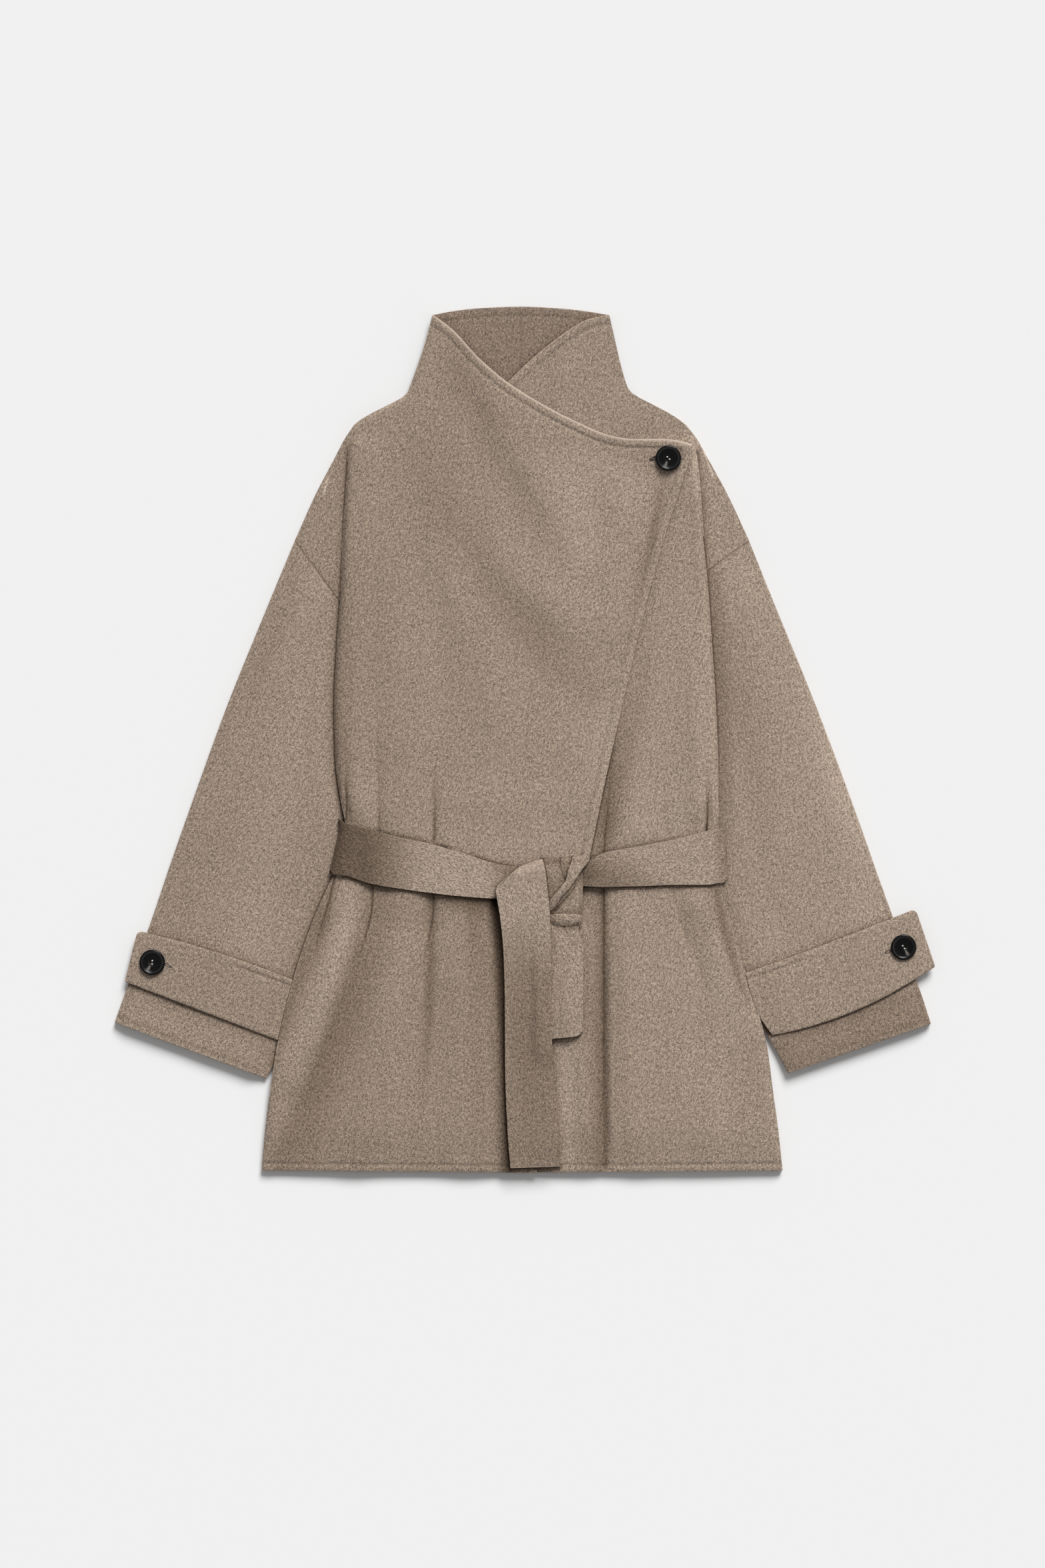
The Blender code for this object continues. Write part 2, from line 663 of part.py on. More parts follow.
def sleeve_plan(side, columns):
    """Plan points of a sleeve from its armhole seam to its cuff, and the share across."""
    table = SLEEVE_RIGHT if side == "right" else SLEEVE_LEFT
    last = SLEEVE_EXIT[side]
    inner_y = np.array((table[0][2], *SLEEVE_LEVELS))
    inner_y = np.append(inner_y[inner_y > last + ROLL], last)
    outer_x = from_table(table, 0, inner_y, key=2)
    outer_y = from_table(table, 1, inner_y, key=2)
    inner_x = inner_edge(side, inner_y)
    cuff = CUFFS[side]
    outer_x = np.append(outer_x, cuff[0])
    outer_y = np.append(outer_y, cuff[1])
    inner_x = np.append(inner_x, cuff[2])
    inner_y = np.append(inner_y, cuff[3])
    open_seam = ARMHOLE_GAP * ease(inner_y, 0.0, ARMPIT[side])
    share = np.linspace(0, 1, columns + 1)
    x = outer_x[:, None] + share[None, :] * (inner_x - outer_x)[:, None]
    y = (outer_y - open_seam)[:, None] + share[None, :] * (inner_y - outer_y)[:, None]
    return x, y, share


def build_sleeves(collection):
    """Front and back half of each sleeve, a tab round each cuff."""
    for side in ("right", "left"):
        x, y, share = sleeve_plan(side, SLEEVE_COLUMNS["front"])
        width = np.abs(x[:, -1:] - x[:, :1])
        puff = SLEEVE_PUFF * rounded(width * share, SLEEVE_ROLL) * ease(width * (1 - share), *SLEEVE_FLAT)
        low = CLOTH + SEAM + puff
        panel("sleeve_%s_front" % side, x, y, low, CLOTH, WOOL, collection)
        x, y, _ = sleeve_plan(side, SLEEVE_COLUMNS["back"])
        panel("sleeve_%s_back" % side, x, y, np.zeros_like(x), CLOTH, WOOL, collection)
        build_tab(side, collection)


def build_tab(side, collection):
    """Cuff tab lying across the sleeve, its free end past the outer edge."""
    values = CUFF_TABS[side]
    outer_top, outer_low, inner_low, inner_top = (np.array(values[k:k + 2]) for k in (0, 2, 4, 6))
    top_bow, low_bow = values[8:]
    along = np.linspace(0, 1, TAB_ROWS + 1)[:, None]
    across = np.array(TAB_SHARES)
    bow = np.concatenate((0 * along, 4 * along * (1 - along)), axis=1)
    top = outer_top + along * (inner_top - outer_top) + top_bow * bow
    low = outer_low + along * (inner_low - outer_low) + low_bow * bow
    plan = top[:, None, :] + across[None, :, None] * (low - top)[:, None, :]
    to_edge = np.minimum(across, 1 - across) * np.linalg.norm(outer_low - outer_top)
    cut_back = TAB_CORNER * (1 - rounded(to_edge, TAB_CORNER)) * (1 - along) ** TAB_SWEEP
    x = plan[..., 0] + SIGN[side] * cut_back
    level = np.full_like(x, 2 * CLOTH + 2 * SEAM + SLEEVE_PUFF)
    panel("cuff_tab_" + side, x, plan[..., 1], level, CLOTH, WOOL, collection)


def belt_level(x):
    """Lower face of the belt's front runs: it bridges the folds it crosses."""
    best = np.zeros_like(x)
    for y in np.linspace(*BELT_SPAN, 9):
        for dx in np.linspace(-BELT_BRIDGE, BELT_BRIDGE, 9):
            best = np.maximum(best, front_top(x + dx, y + 0 * x))
    return best + SEAM


def columns_of(table, steps):
    """Every column of a table, read smoothly at even steps along its rows."""
    rows = np.array(table)
    knots = np.linspace(0, 1, len(rows))
    at = np.linspace(0, 1, steps + 1)
    return [smooth_through(knots, column, at) for column in rows.T]


def belt_run(side, table):
    """Middle surface of a front run with its turn round the side, from its end under the back."""
    run_x, run_top, run_low = columns_of(table, RUN_ROWS)
    level = belt_level(run_x)
    smooth = np.convolve(np.pad(level, 1, mode="edge"), (0.25, 0.5, 0.25), mode="valid")
    run_z = np.maximum(smooth, level) + BELT_CLOTH / 2
    turn_mid = 0.5 * (run_z[0] + BELT_CLOTH / 2)
    back_top = BELT_MIDDLE + BELT_WIDTH / 2
    back_low = BELT_MIDDLE - BELT_WIDTH / 2
    across = np.linspace(0, 1, RUN_COLUMNS + 1)
    sections = []
    for angle in np.linspace(-0.5, 0.5, TURN_ROWS + 1) * np.pi:
        blend = 0.5 + angle / np.pi
        top = back_top + blend * (run_top[0] - back_top)
        low = back_low + blend * (run_low[0] - back_low)
        y = top + across * (low - top)
        out = (WRAP_OUT - BELT_CLOTH / 2) * np.cos(angle)
        x = side_x(side, y) - SIGN[side] * (LAYER_GAP + out)
        z = turn_mid + (run_z[0] - turn_mid) * np.sin(angle)
        sections.append(np.stack((x, y, np.full_like(x, z)), axis=-1))
    sections.insert(0, sections[0] + np.array((SIGN[side] * BELT_TUCK, 0, 0)))
    for x, top, low, z in zip(run_x[1:], run_top[1:], run_low[1:], run_z[1:]):
        y = top + across * (low - top)
        sections.append(np.stack((np.full_like(y, x), y, np.full_like(y, z)), axis=-1))
    return np.array(sections)


def build_belt(collection):
    """Belt round the waist: the back run, two front runs, the knot and two tails."""
    ends = {}
    for side, table in (("right", BELT_RUN_RIGHT), ("left", BELT_RUN_LEFT)):
        points = belt_run(side, table)
        ends[side] = points[0]
        bent_strip("belt_front_" + side, points, BELT_CLOTH, WOOL, collection)
    share = np.linspace(0, 1, TURN_ROWS + 1)[:, None, None]
    first = ends["right"] + np.array((SEAM, 0, 0))
    last = ends["left"] - np.array((SEAM, 0, 0))
    bent_strip("belt_back", first + share * (last - first), BELT_CLOTH, WOOL, collection)
    knot_level = float(np.max(belt_level(np.linspace(*KNOT_SPAN, 10)))) + BELT_CLOTH + SEAM
    build_tail("belt_tail_short", SHORT_TAIL, None, knot_level, collection)
    build_tail("belt_tail_long", LONG_TAIL, SHORT_TAIL, knot_level, collection)
    build_knot(knot_level, collection)


def build_tail(name, table, under, knot_level, collection):
    """A tail from the knot down over the skirt, and over the other tail where they cross."""
    left_x, left_y, right_x, right_y, lift = (column[:, None] for column in columns_of(table, TAIL_GRID[0]))
    across = np.linspace(0, 1, TAIL_GRID[1] + 1)[None, :]
    x = left_x + across * (right_x - left_x)
    y = left_y + across * (right_y - left_y)
    low = resting(x, y)
    if under is not None:
        edge_x, edge_y = np.array(under)[:, :2].min(axis=0)
        covers = ease(x - edge_x, -TAIL_CLIMB_ACROSS[0], -TAIL_CLIMB_ACROSS[1])
        covers = covers * ease(y - edge_y, -TAIL_CLIMB_ALONG[0], -TAIL_CLIMB_ALONG[1])
        low = low + (BELT_CLOTH + LAYER_GAP) * covers
        near_knot = ease(y, *TAIL_TO_KNOT)
        low = low + (np.maximum(knot_level, low) - low) * near_knot + KNOT_LIFT * lift
    panel(name, x, y, low, BELT_CLOTH, WOOL, collection)


def build_knot(knot_level, collection):
    """Right half of the knot: the belt wrapped round itself, with a band under it."""
    y, left, right, level, crown = (column[:, None] for column in columns_of(KNOT, KNOT_GRID[0]))
    across = np.linspace(0, 1, KNOT_GRID[1] + 1)[None, :]
    x = left + across * (right - left)
    y = y + 0 * x
    dome = 1 - np.abs(2 * across - 1) ** KNOT_DOME
    off_fold = x - KNOT_FOLD_AT[0] - KNOT_FOLD_SLANT * (y - KNOT_FOLD_AT[1])
    fold = np.exp(-(off_fold / KNOT_FOLD_WIDTH) ** 2) * ease(y, *KNOT_FOLD_FADE)
    on_tail = resting(x, y) + BELT_CLOTH + LAYER_GAP
    low = np.maximum(knot_level + level, on_tail) + (crown + KNOT_FOLD_HEIGHT * fold) * dome
    panel("belt_knot", x, y, low, BELT_CLOTH, WOOL, collection)


def build_button(name, place, collection, cutters):
    """A turned button: rounded rim, shallow dish, two sewing holes cut through."""
    mesh = bmesh.new()
    verts = [mesh.verts.new((radius, 0, height)) for radius, height in BUTTON_PROFILE]
    for upper, lower in zip(verts, verts[1:]):
        mesh.edges.new((upper, lower))
    made = finish(name, mesh, BUTTON_BLACK, collection)
    made.location = place
    turned = made.modifiers.new("turned", "SCREW")
    turned.axis = "Z"
    turned.steps = BUTTON_STEPS
    turned.render_steps = BUTTON_STEPS
    turned.use_merge_vertices = True
    turned.merge_threshold = BUTTON_MERGE
    for number, side in enumerate((-1, 1)):
        pin = bmesh.new()
        bmesh.ops.create_cone(
            pin, cap_ends=True, cap_tris=False, segments=HOLE_SIDES,
            radius1=HOLE_RADIUS, radius2=HOLE_RADIUS, depth=HOLE_DEPTH,
        )
        cutter = finish("%s_hole_%d" % (name, number), pin, BUTTON_BLACK, cutters)
        cutter.location = (place[0] + side * HOLE_OFFSET, place[1], place[2])
        cutter.hide_render = True
        cutter.display_type = "WIRE"
        cut = made.modifiers.new("hole", "BOOLEAN")
        cut.operation = "DIFFERENCE"
        cut.solver = "EXACT"
        cut.object = cutter
    return made


def build_buttons(collection, cutters):
    """Shoulder button on the right front, one button on each cuff tab."""
    for key, (x, y) in BUTTONS.items():
        level = 3 * CLOTH + 3 * SEAM + SLEEVE_PUFF
        if key == "shoulder":
            round_x = x + np.array((-1, 0, 1, 0, 0)) * BUTTON_SEAT
            round_y = y + np.array((0, -1, 0, 1, 0)) * BUTTON_SEAT
            level = float(np.max(over_low(round_x, round_y))) + CLOTH + SEAM
        build_button("button_" + key, (x, y, level), collection, cutters)


def main():
    for old in list(bpy.data.objects):
        bpy.data.objects.remove(old, do_unlink=True)
    collection = new_collection(OBJECT_NAME)
    cutters = new_collection("cutters")
    build_back(collection)
    build_fronts(collection)
    build_sleeves(collection)
    build_belt(collection)
    build_buttons(collection, cutters)


main()
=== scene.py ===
"""Finished look of the belted wrap coat: woollen shells laid on the part's solids, buttons and a stage.

Metres, in the part's own frame: +X to the viewer's right, +Y from hem to collar, +Z up from the floor.
Left and right in the names are the wearer's, so the wearer's right is at -X.
"""

import bmesh
import bpy
import numpy as np
from bpy.props import FloatProperty, FloatVectorProperty, PointerProperty
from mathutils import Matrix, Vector


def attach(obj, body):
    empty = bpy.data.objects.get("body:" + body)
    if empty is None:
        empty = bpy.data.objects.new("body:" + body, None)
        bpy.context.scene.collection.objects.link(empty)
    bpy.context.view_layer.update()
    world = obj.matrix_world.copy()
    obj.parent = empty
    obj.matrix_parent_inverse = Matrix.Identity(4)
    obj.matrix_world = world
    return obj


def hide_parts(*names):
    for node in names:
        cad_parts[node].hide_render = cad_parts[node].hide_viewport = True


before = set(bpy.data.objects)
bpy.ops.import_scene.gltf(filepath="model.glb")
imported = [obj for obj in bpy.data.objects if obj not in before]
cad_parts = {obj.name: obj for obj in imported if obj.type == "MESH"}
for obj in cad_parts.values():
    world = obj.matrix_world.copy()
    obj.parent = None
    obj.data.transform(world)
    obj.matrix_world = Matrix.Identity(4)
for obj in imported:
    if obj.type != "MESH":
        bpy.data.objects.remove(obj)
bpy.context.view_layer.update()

bl_info = {
    "name": "Belted wrap coat",
    "version": (1, 0, 0),
    "blender": (4, 5, 0),
    "location": "View3D > Sidebar > Coat",
    "description": "Builds the laid coat piece by piece on its packed frame",
    "category": "Object",
}

# Cloth and seams, as in the part
CLOTH = 0.0024
BELT_CLOTH = 0.0028
SEAM = 0.0004
LAYER_GAP = 0.0008

# How the laid cloth stands
RIDGE = 0.0034
CHEST_AIR = 0.0030
SKIRT_AIR = 0.0028
BLOUSE = {"right": 0.0028, "left": 0.0008}
ROLL = 0.010
PLEAT_ROLL = 0.0034
PLEAT_FADE = {"right": 0.036, "left": 0.080}
SLEEVE_PUFF = 0.0012
SLEEVE_AIR = 0.0030
SLEEVE_TUCK = 0.006
CUFF_OPEN = 0.0030
BACK_INSET = 0.010
SLEEVE_EXIT = {"right": -0.3155, "left": -0.2760}
TAB_CORNER = 0.004
TAB_GAP = {"right": 0.0005, "left": -0.0010}
TAB_WEDGE = {"right": 0.0, "left": 0.0085}
CENTRE_BACK = -0.0035
SEAM_LAP = 0.0012
NECK_DIP = 0.010
ARMPIT = {"right": 0.1360, "left": 0.1653}
SHOULDER_POINT = 0.3040
NECK_POINT = 0.3345
COLLAR_TOP = 0.4147
HEM_LEVEL = -0.4185
HEM_SETTLE = 0.66
HEM_REACH = 0.050
SEWN_WIDTH = 0.0016
RIM_PUFF = 0.4
RIM_PUFF_PLACE = 0.45
RIM_PUFF_WIDTH = 0.35

# Where the forms of a front start and end: heights, or distances from its side or from the belt
CHEST_FROM = (-0.11, -0.03)
SKIRT_FROM = (0.150, 0.200)
SKIRT_CREASES = (0.140, 0.180)
PLEAT_ROUND = 0.007
PLEAT_INNER = 0.010
PLEAT_LOW = (-0.20, -0.15)
PLEAT_HIGH = (0.284, 0.300)
PLEAT_BELT = (0.020, 0.060)
BLOUSE_START = (0.0, 0.0024)
BLOUSE_END = (0.004, 0.040)
BLOUSE_SIDE = (0.010, 0.050)
BLOUSE_ACROSS = (-0.100, -0.040)
CREASE_SIDE = (0.0, 0.006)
SLEEVE_UNDER = (0.012, 0.040)
SLEEVE_ROUND = 0.004
SLEEVE_LEAVES = (-0.055, -0.022)
SLEEVE_STARTS = (-0.002, 0.008)
UNDER_SHOWS = (-0.016, 0.018)
UNDER_COVERED = (-0.030, -0.010)
LAYER_BLEND = 0.0008
OVER_REACH = 0.002
NECK_FROM = 0.25
UNEVEN = 0.00022
BELT_PRESS = 0.7
BELT_PRESS_REACH = 0.055

# Stretch of the left skirt's side that lies flush with the sleeve beside it
FLUSH_FROM = (0.140, 0.152)
FLUSH_TO = (0.250, 0.268)
FLUSH_SIDE = (0.0, 0.014)
FLUSH_DEPTH = 0.0012

# Sleeves: rounding at the outer and the inner edge, the air in them and the open cuff
SLEEVE_EDGE = 0.016
SLEEVE_INNER = (0.006, 0.024)
SLEEVE_FULL = (-0.175, -0.060)
SLEEVE_HEAD = 0.185
SLEEVE_HEAD_REACH = 0.06
CUFF_REACH = (0.002, 0.034)
OVERARM_SEAM = 0.0050
OVERARM_DEPTH = 0.0005
ARMHOLE_DEPTH = 0.0006
SLEEVE_SEAM_WIDTH = 0.0012

# Cuff tabs: the inner end that sinks, the crown, the sewn stretch and the rounded edge
TAB_SINK = (0.88, 1.0)
TAB_CROWN = 0.0008
TAB_SEWN = (0.62, 0.76)
TAB_SEWN_WIDTH = 0.0013
TAB_EDGE_DROP = 0.0006
TAB_EDGE_ROUND = 0.003
TAB_BEYOND = 0.030
TAB_LIT_SIDE = 0.0004
TAB_CLEAR = 0.0007

# Wool: turn of each noise, its width and length in streaks, its detail and its share in the colour
WOOL_NOISES = {
    "fine": (0.12, 0.28, 0.32, 1.0, 0.64),
    "fibre": (-0.20, 0.60, 0.70, 2.0, 0.43),
    "streak": (0.24, 1.3, 1.4, 2.0, 0.33),
    "tuft": (0.10, 3.0, 5.0, 2.0, 0.08),
}
WOOL_SHADER = {"Roughness": 0.95, "Specular IOR Level": 0.12, "Sheen Weight": 0.18, "Sheen Roughness": 0.45}
NOISE_ROUGHNESS = 0.6
MOTTLE_TURN = 0.05
MOTTLE_SIZE = (0.020, 0.200)
MOTTLE_ROUGHNESS = 0.5
MOTTLE_SHARE = 0.08
FIBRE_CURVE = 1.2
DARK_FIBRE = 0.22
LIGHT_FIBRE = 2.0
SHEEN_LIFT = 2.4
PILE_BUMP = 0.55
PILE_DEPTH = 0.0012

# Painted highlight along cut edges: how much lighter it is than the wool, in red, green and blue, and how
# wide it is
EDGE_HIGHLIGHT_LIFT = (1.95, 2.02, 2.10)
EDGE_HIGHLIGHT_WIDTH = 0.0026
LEFT_HIGHLIGHT_SHIFT = 0.0014

# Shade close under the edge of a piece that lies on the cloth and softly beside it: reach and depth
CONTACT = ((0.0016, 0.54), (0.0065, 0.20))
NO_CONTACT = 0.02
FAINT_CHEST = 0.006
FAINT_HEM = 0.010

# Painted shade turns the wool redder: powers of the painted shade in green and blue
SHADE_GREEN = 1.09
SHADE_BLUE = 1.18
# Painted shade in sewn grooves, along closed crease lines, in sharp troughs, by the hem and the cuffs, at the
# armholes and at the centre back seam
SEWN_SHADE = 0.16
FOLD_WIDTH = 0.0011
FOLD_REACH = (0.004, 0.007)
SHARP_CREASE = 0.0075
TROUGH_DEPTH = 0.0030
TROUGH_SHADE = 0.36
HEM_SHADE = 0.10
HEM_FOLD = (0.0040, 0.0064)
CUFF_SHADE = {"right": 0.06, "left": 0.26}
CUFF_FOLD = 0.0062
ARMHOLE_SHADE = 0.40
CENTRE_SEAM_SHADE = 0.25

# What a shell's points carry for its wool, and the value where nothing is said; one of them is painted light
# and shade over whole stretches, another painted shade or light along closed crease lines
MARKS = {"edge": 1.0, "groove": 0.0, "nap": 1.0, "gap": 1.0, "fold": 1.0, "fold_depth": 0.0}

# Roughness of the plain slots, and how uneven their gloss is
PLAIN_ROUGHNESS = {"thread": 0.6, "buttonhole": 0.8, "floor": 0.9}
GLOSS_SIZE = 0.004
GLOSS_SPREAD = 0.3
GLOSS_LEAST = 0.85

# Belt
BELT_WIDTH = 0.050
BELT_MIDDLE = -0.110
WRAP_OUT = 0.0053
BESIDE_BELT = {
    # low end, low full, high full, high end
    "right": (-0.1325, -0.1272, -0.0775, -0.0758),
    "left": (-0.1405, -0.1348, -0.0866, -0.0845),
}
TURN_RISE = {
    # how far the upper and the lower edge rise where the belt turns round the side
    "right": (0.0060, 0.0060),
    "left": (-0.0010, 0.0030),
}
LIT_SIDE = 0.0022
LIGHT_PLAN = (0.6, 0.8)
LIGHT_TURN = (-0.2, 0.9)
SKIRT_DEEPER = 0.35
BELT_TUCK = 0.012
WAIST_RAMP = 0.045
WAIST_SPREAD = 0.005
WAIST_EASE = 0.002
KNOT_LIFT = 0.0040
TAIL_CURL = 0.0016
TURN_SHADE = 0.28
KNOT_ACROSS = (-0.03, 0.06)
KNOT_HEIGHTS = (-0.115, -0.150)
KNOT_LIT_SIDE = 0.0005
KNOT_SIDE = (0.0500, 0.0565)
KNOT_SIDE_SHADE = 0.30
KNOT_TOP = (-0.1240, -0.1160)
BELT_RESTS = 0.80
BELT_REACH = 0.016
TAIL_REACH = 0.012
TAIL_TO_KNOT = (-0.235, -0.172)
TAIL_TOP_DROP = 0.0060
TAIL_TOP_ROUND = 0.010
TAIL_FOLD = 0.0385
TAIL_FOLD_WIDTH = 0.0040

# Camera and light
CAMERA_PLACE = (-0.00195, -0.04225, 4.0)
VIEW_HEIGHT = 1.5288
SENSOR = 36.0
SKY_STRENGTH = 0.30
SUN_STRENGTH = 3.38
SUN_SPREAD = 0.5
SUN_FROM = (0.24, 0.745, 0.62)
FLOOR_SIZE = 12.0
FLOOR_DROP = 0.0004

SIGN = {"right": 1.0, "left": -1.0}

# Side seam, then the pleat in front of the armhole, the shoulder and the side of the collar
SIDE_LINE = (
    # height, right, left
    (-0.4205, -0.2561, 0.2516),
    (-0.3830, -0.2529, 0.2477),
    (-0.3440, -0.2482, 0.2425),
    (-0.2950, -0.2405, 0.2356),
    (-0.2334, -0.2256, 0.2178),
    (-0.1750, -0.2060, 0.2013),
    (-0.1400, -0.1905, 0.1925),
    (-0.1260, -0.1835, 0.1912),
    (-0.1050, -0.1783, 0.1900),
    (-0.0830, -0.1745, 0.1890),
    (-0.0600, -0.1785, 0.1890),
    (-0.0250, -0.1838, 0.1888),
    (0.0332, -0.1853, 0.1866),
    (0.0852, -0.1832, 0.1833),
    (0.1502, -0.1788, 0.1788),
    (0.2022, -0.1762, 0.1738),
    (0.2412, -0.1742, 0.1715),
    (0.2800, -0.1712, 0.1675),
    (0.3040, -0.1680, 0.1600),
    (0.3115, -0.1606, 0.1520),
    (0.3205, -0.1450, 0.1378),
    (0.3283, -0.1294, 0.1229),
    (0.3345, -0.1182, 0.1108),
    (0.3385, -0.1140, 0.1045),
    (0.3439, -0.1118, 0.1005),
    (0.3595, -0.1060, 0.0955),
    (0.3907, -0.0956, 0.0880),
    (0.4063, -0.0915, 0.0845),
    (0.4147, -0.0897, 0.0826),
)

# Outline of the dropped shoulder outside the pleat, from the armhole seam up
SHOULDER_CAP = (
    # height, right, left
    (0.1950, -0.2236, 0.2186),
    (0.2412, -0.2028, 0.1970),
    (0.2672, -0.1892, 0.1827),
    (0.2821, -0.1814, 0.1746),
    (0.2932, -0.1755, 0.1684),
    (0.3040, -0.1680, 0.1600),
)

# Front edge of the right front, from hem to its shoulder corner
FRONT_EDGE = (
    # height, across
    (-0.4205, 0.0120),
    (-0.3000, 0.0240),
    (-0.2100, 0.0430),
    (-0.1118, 0.0637),
    (-0.0449, 0.0774),
    (0.0332, 0.0949),
    (0.1079, 0.1125),
    (0.1983, 0.1365),
    (0.2542, 0.1547),
    (0.2769, 0.1612),
    (0.2880, 0.1625),
)
UNDERLAP_MIRROR = 0.006

# Collar and chest edge of each front, from the top of the collar to the shoulder corner
TOP_EDGE = {
    "right": (
        # across, height
        (-0.0897, 0.4147),
        (-0.0696, 0.3991),
        (-0.0436, 0.3712),
        (-0.0176, 0.3491),
        (0.0085, 0.3322),
        (0.0475, 0.3114),
        (0.0865, 0.2958),
        (0.1060, 0.2932),
        (0.1320, 0.2932),
        (0.1482, 0.2919),
        (0.1625, 0.2880),
    ),
    "left": (
        # across, height
        (0.0826, 0.4147),
        (0.0637, 0.4108),
        (0.0488, 0.4037),
        (0.0345, 0.3939),
        (0.0085, 0.3731),
        (-0.0163, 0.3497),
        (-0.0535, 0.3180),
        (-0.0925, 0.2958),
        (-0.1350, 0.2920),
        (-0.1565, 0.2880),
    ),
}

# Upper edge of the back collar
COLLAR_ARCH = (
    # across, height
    (-0.0897, 0.4147),
    (-0.0696, 0.4186),
    (-0.0436, 0.4215),
    (-0.0035, 0.4230),
    (0.0345, 0.4212),
    (0.0605, 0.4184),
    (0.0826, 0.4147),
)

# Which height of the front edge each height of the outer edge is joined to, and how much of the
# top edge's curve that row takes
ROW_MATCH = (
    # outer height, front edge height, share of curve
    (-0.4185, -0.4205, 0.00),
    (0.1502, 0.1502, 0.00),
    (0.1950, 0.1850, 0.20),
    (0.3040, 0.2350, 0.55),
    (0.3345, 0.2600, 0.75),
    (0.4147, 0.2880, 1.00),
)

# Creases: start, middle and end in plan, width to the left and right of the way they run,
# height at the start, the middle and the end
CREASES_RIGHT = (
    # x0, y0, x1, y1, x2, y2, left width, right width, h0, h1, h2
    # Chest, falling from the collar and the shoulder
    (-0.040, 0.352, -0.001, 0.274, 0.062, 0.172, 0.030, 0.018, 0.0010, 0.0042, 0.0020),
    (-0.030, 0.205, 0.008, 0.144, 0.080, 0.108, 0.028, 0.017, 0.0010, 0.0040, 0.0016),
    (-0.100, 0.228, -0.066, 0.137, -0.036, 0.030, 0.024, 0.018, 0.0008, 0.0030, 0.0010),
    (-0.148, 0.267, -0.130, 0.137, -0.124, 0.010, 0.026, 0.022, 0.0006, 0.0016, 0.0010),
    (0.030, 0.300, 0.070, 0.255, 0.104, 0.190, 0.024, 0.018, 0.0006, 0.0018, 0.0008),
    (0.137, 0.258, 0.125, 0.202, 0.103, 0.118, 0.007, 0.010, -0.0012, -0.0020, -0.0004),
    (-0.086, 0.330, -0.070, 0.290, -0.046, 0.230, 0.020, 0.016, 0.0004, 0.0012, 0.0004),
    (0.018, 0.070, 0.040, 0.000, 0.050, -0.080, 0.022, 0.020, 0.0004, 0.0014, 0.0006),
    # Gathers above the belt
    (-0.173, -0.015, -0.173, -0.048, -0.1720, -0.078, 0.004, 0.004, -0.0004, -0.0020, -0.0028),
    (-0.157, 0.020, -0.157, -0.035, -0.157, -0.084, 0.010, 0.010, 0.0004, 0.0014, 0.0018),
    (-0.142, 0.014, -0.141, -0.038, -0.141, -0.088, 0.006, 0.005, -0.0002, -0.0014, -0.0020),
    (-0.116, 0.020, -0.115, -0.040, -0.115, -0.090, 0.016, 0.014, 0.0004, 0.0016, 0.0020),
    (-0.089, -0.010, -0.088, -0.055, -0.0880, -0.096, 0.004, 0.005, -0.0002, -0.0015, -0.0024),
    (-0.040, -0.040, -0.041, -0.075, -0.0420, -0.110, 0.010, 0.010, 0.0002, 0.0012, 0.0016),
    (0.018, -0.060, 0.018, -0.090, 0.018, -0.120, 0.008, 0.008, -0.0002, -0.0008, -0.0014),
    # Skirt, from the belt down
    (-0.184, -0.130, -0.193, -0.172, -0.210, -0.228, 0.0035, 0.0035, -0.0020, -0.0020, -0.0004),
    (-0.166, -0.144, -0.187, -0.225, -0.222, -0.335, 0.013, 0.012, 0.0020, 0.0058, 0.0016),
    (-0.147, -0.140, -0.174, -0.257, -0.240, -0.408, 0.024, 0.008, -0.0030, -0.0042, -0.0012),
    (-0.120, -0.149, -0.131, -0.253, -0.160, -0.412, 0.022, 0.020, 0.0014, 0.0040, 0.0036),
    (-0.089, -0.148, -0.092, -0.240, -0.099, -0.360, 0.004, 0.012, -0.0030, -0.0030, -0.0004),
    (-0.063, -0.155, -0.063, -0.253, -0.064, -0.412, 0.017, 0.016, 0.0010, 0.0024, 0.0026),
    (-0.034, -0.158, -0.027, -0.253, -0.019, -0.412, 0.010, 0.012, -0.0020, -0.0026, -0.0026),
)
CREASES_LEFT = (
    # x0, y0, x1, y1, x2, y2, left width, right width, h0, h1, h2
    (0.178, -0.030, 0.178, -0.055, 0.177, -0.088, 0.0035, 0.0035, -0.0003, -0.0026, -0.0032),
    (0.165, 0.110, 0.166, 0.020, 0.166, -0.070, 0.008, 0.009, 0.0004, 0.0020, 0.0014),
    (0.120, 0.060, 0.112, -0.010, 0.106, -0.085, 0.012, 0.016, 0.0002, 0.0012, 0.0014),
    (0.142, -0.010, 0.139, -0.045, 0.138, -0.088, 0.007, 0.007, -0.0001, -0.0005, -0.0008),
    (0.060, 0.380, 0.040, 0.350, 0.020, 0.325, 0.014, 0.014, 0.0002, 0.0010, 0.0004),
    # Skirt
    (0.053, -0.185, 0.056, -0.292, 0.059, -0.412, 0.012, 0.011, 0.0006, 0.0028, 0.0030),
    (0.0765, -0.146, 0.0775, -0.260, 0.0790, -0.415, 0.0034, 0.0050, -0.0026, -0.0036, -0.0034),
    (0.098, -0.149, 0.101, -0.253, 0.105, -0.412, 0.026, 0.012, 0.0016, 0.0034, 0.0034),
    (0.146, -0.148, 0.158, -0.190, 0.178, -0.245, 0.007, 0.006, -0.0008, -0.0009, -0.0002),
    (0.168, -0.150, 0.187, -0.207, 0.213, -0.285, 0.013, 0.013, 0.0010, 0.0026, 0.0010),
    (0.1865, -0.146, 0.2000, -0.207, 0.2200, -0.262, 0.006, 0.006, -0.0018, -0.0020, -0.0004),
    (0.165, -0.300, 0.176, -0.350, 0.186, -0.412, 0.020, 0.022, 0.0002, 0.0014, 0.0018),
)
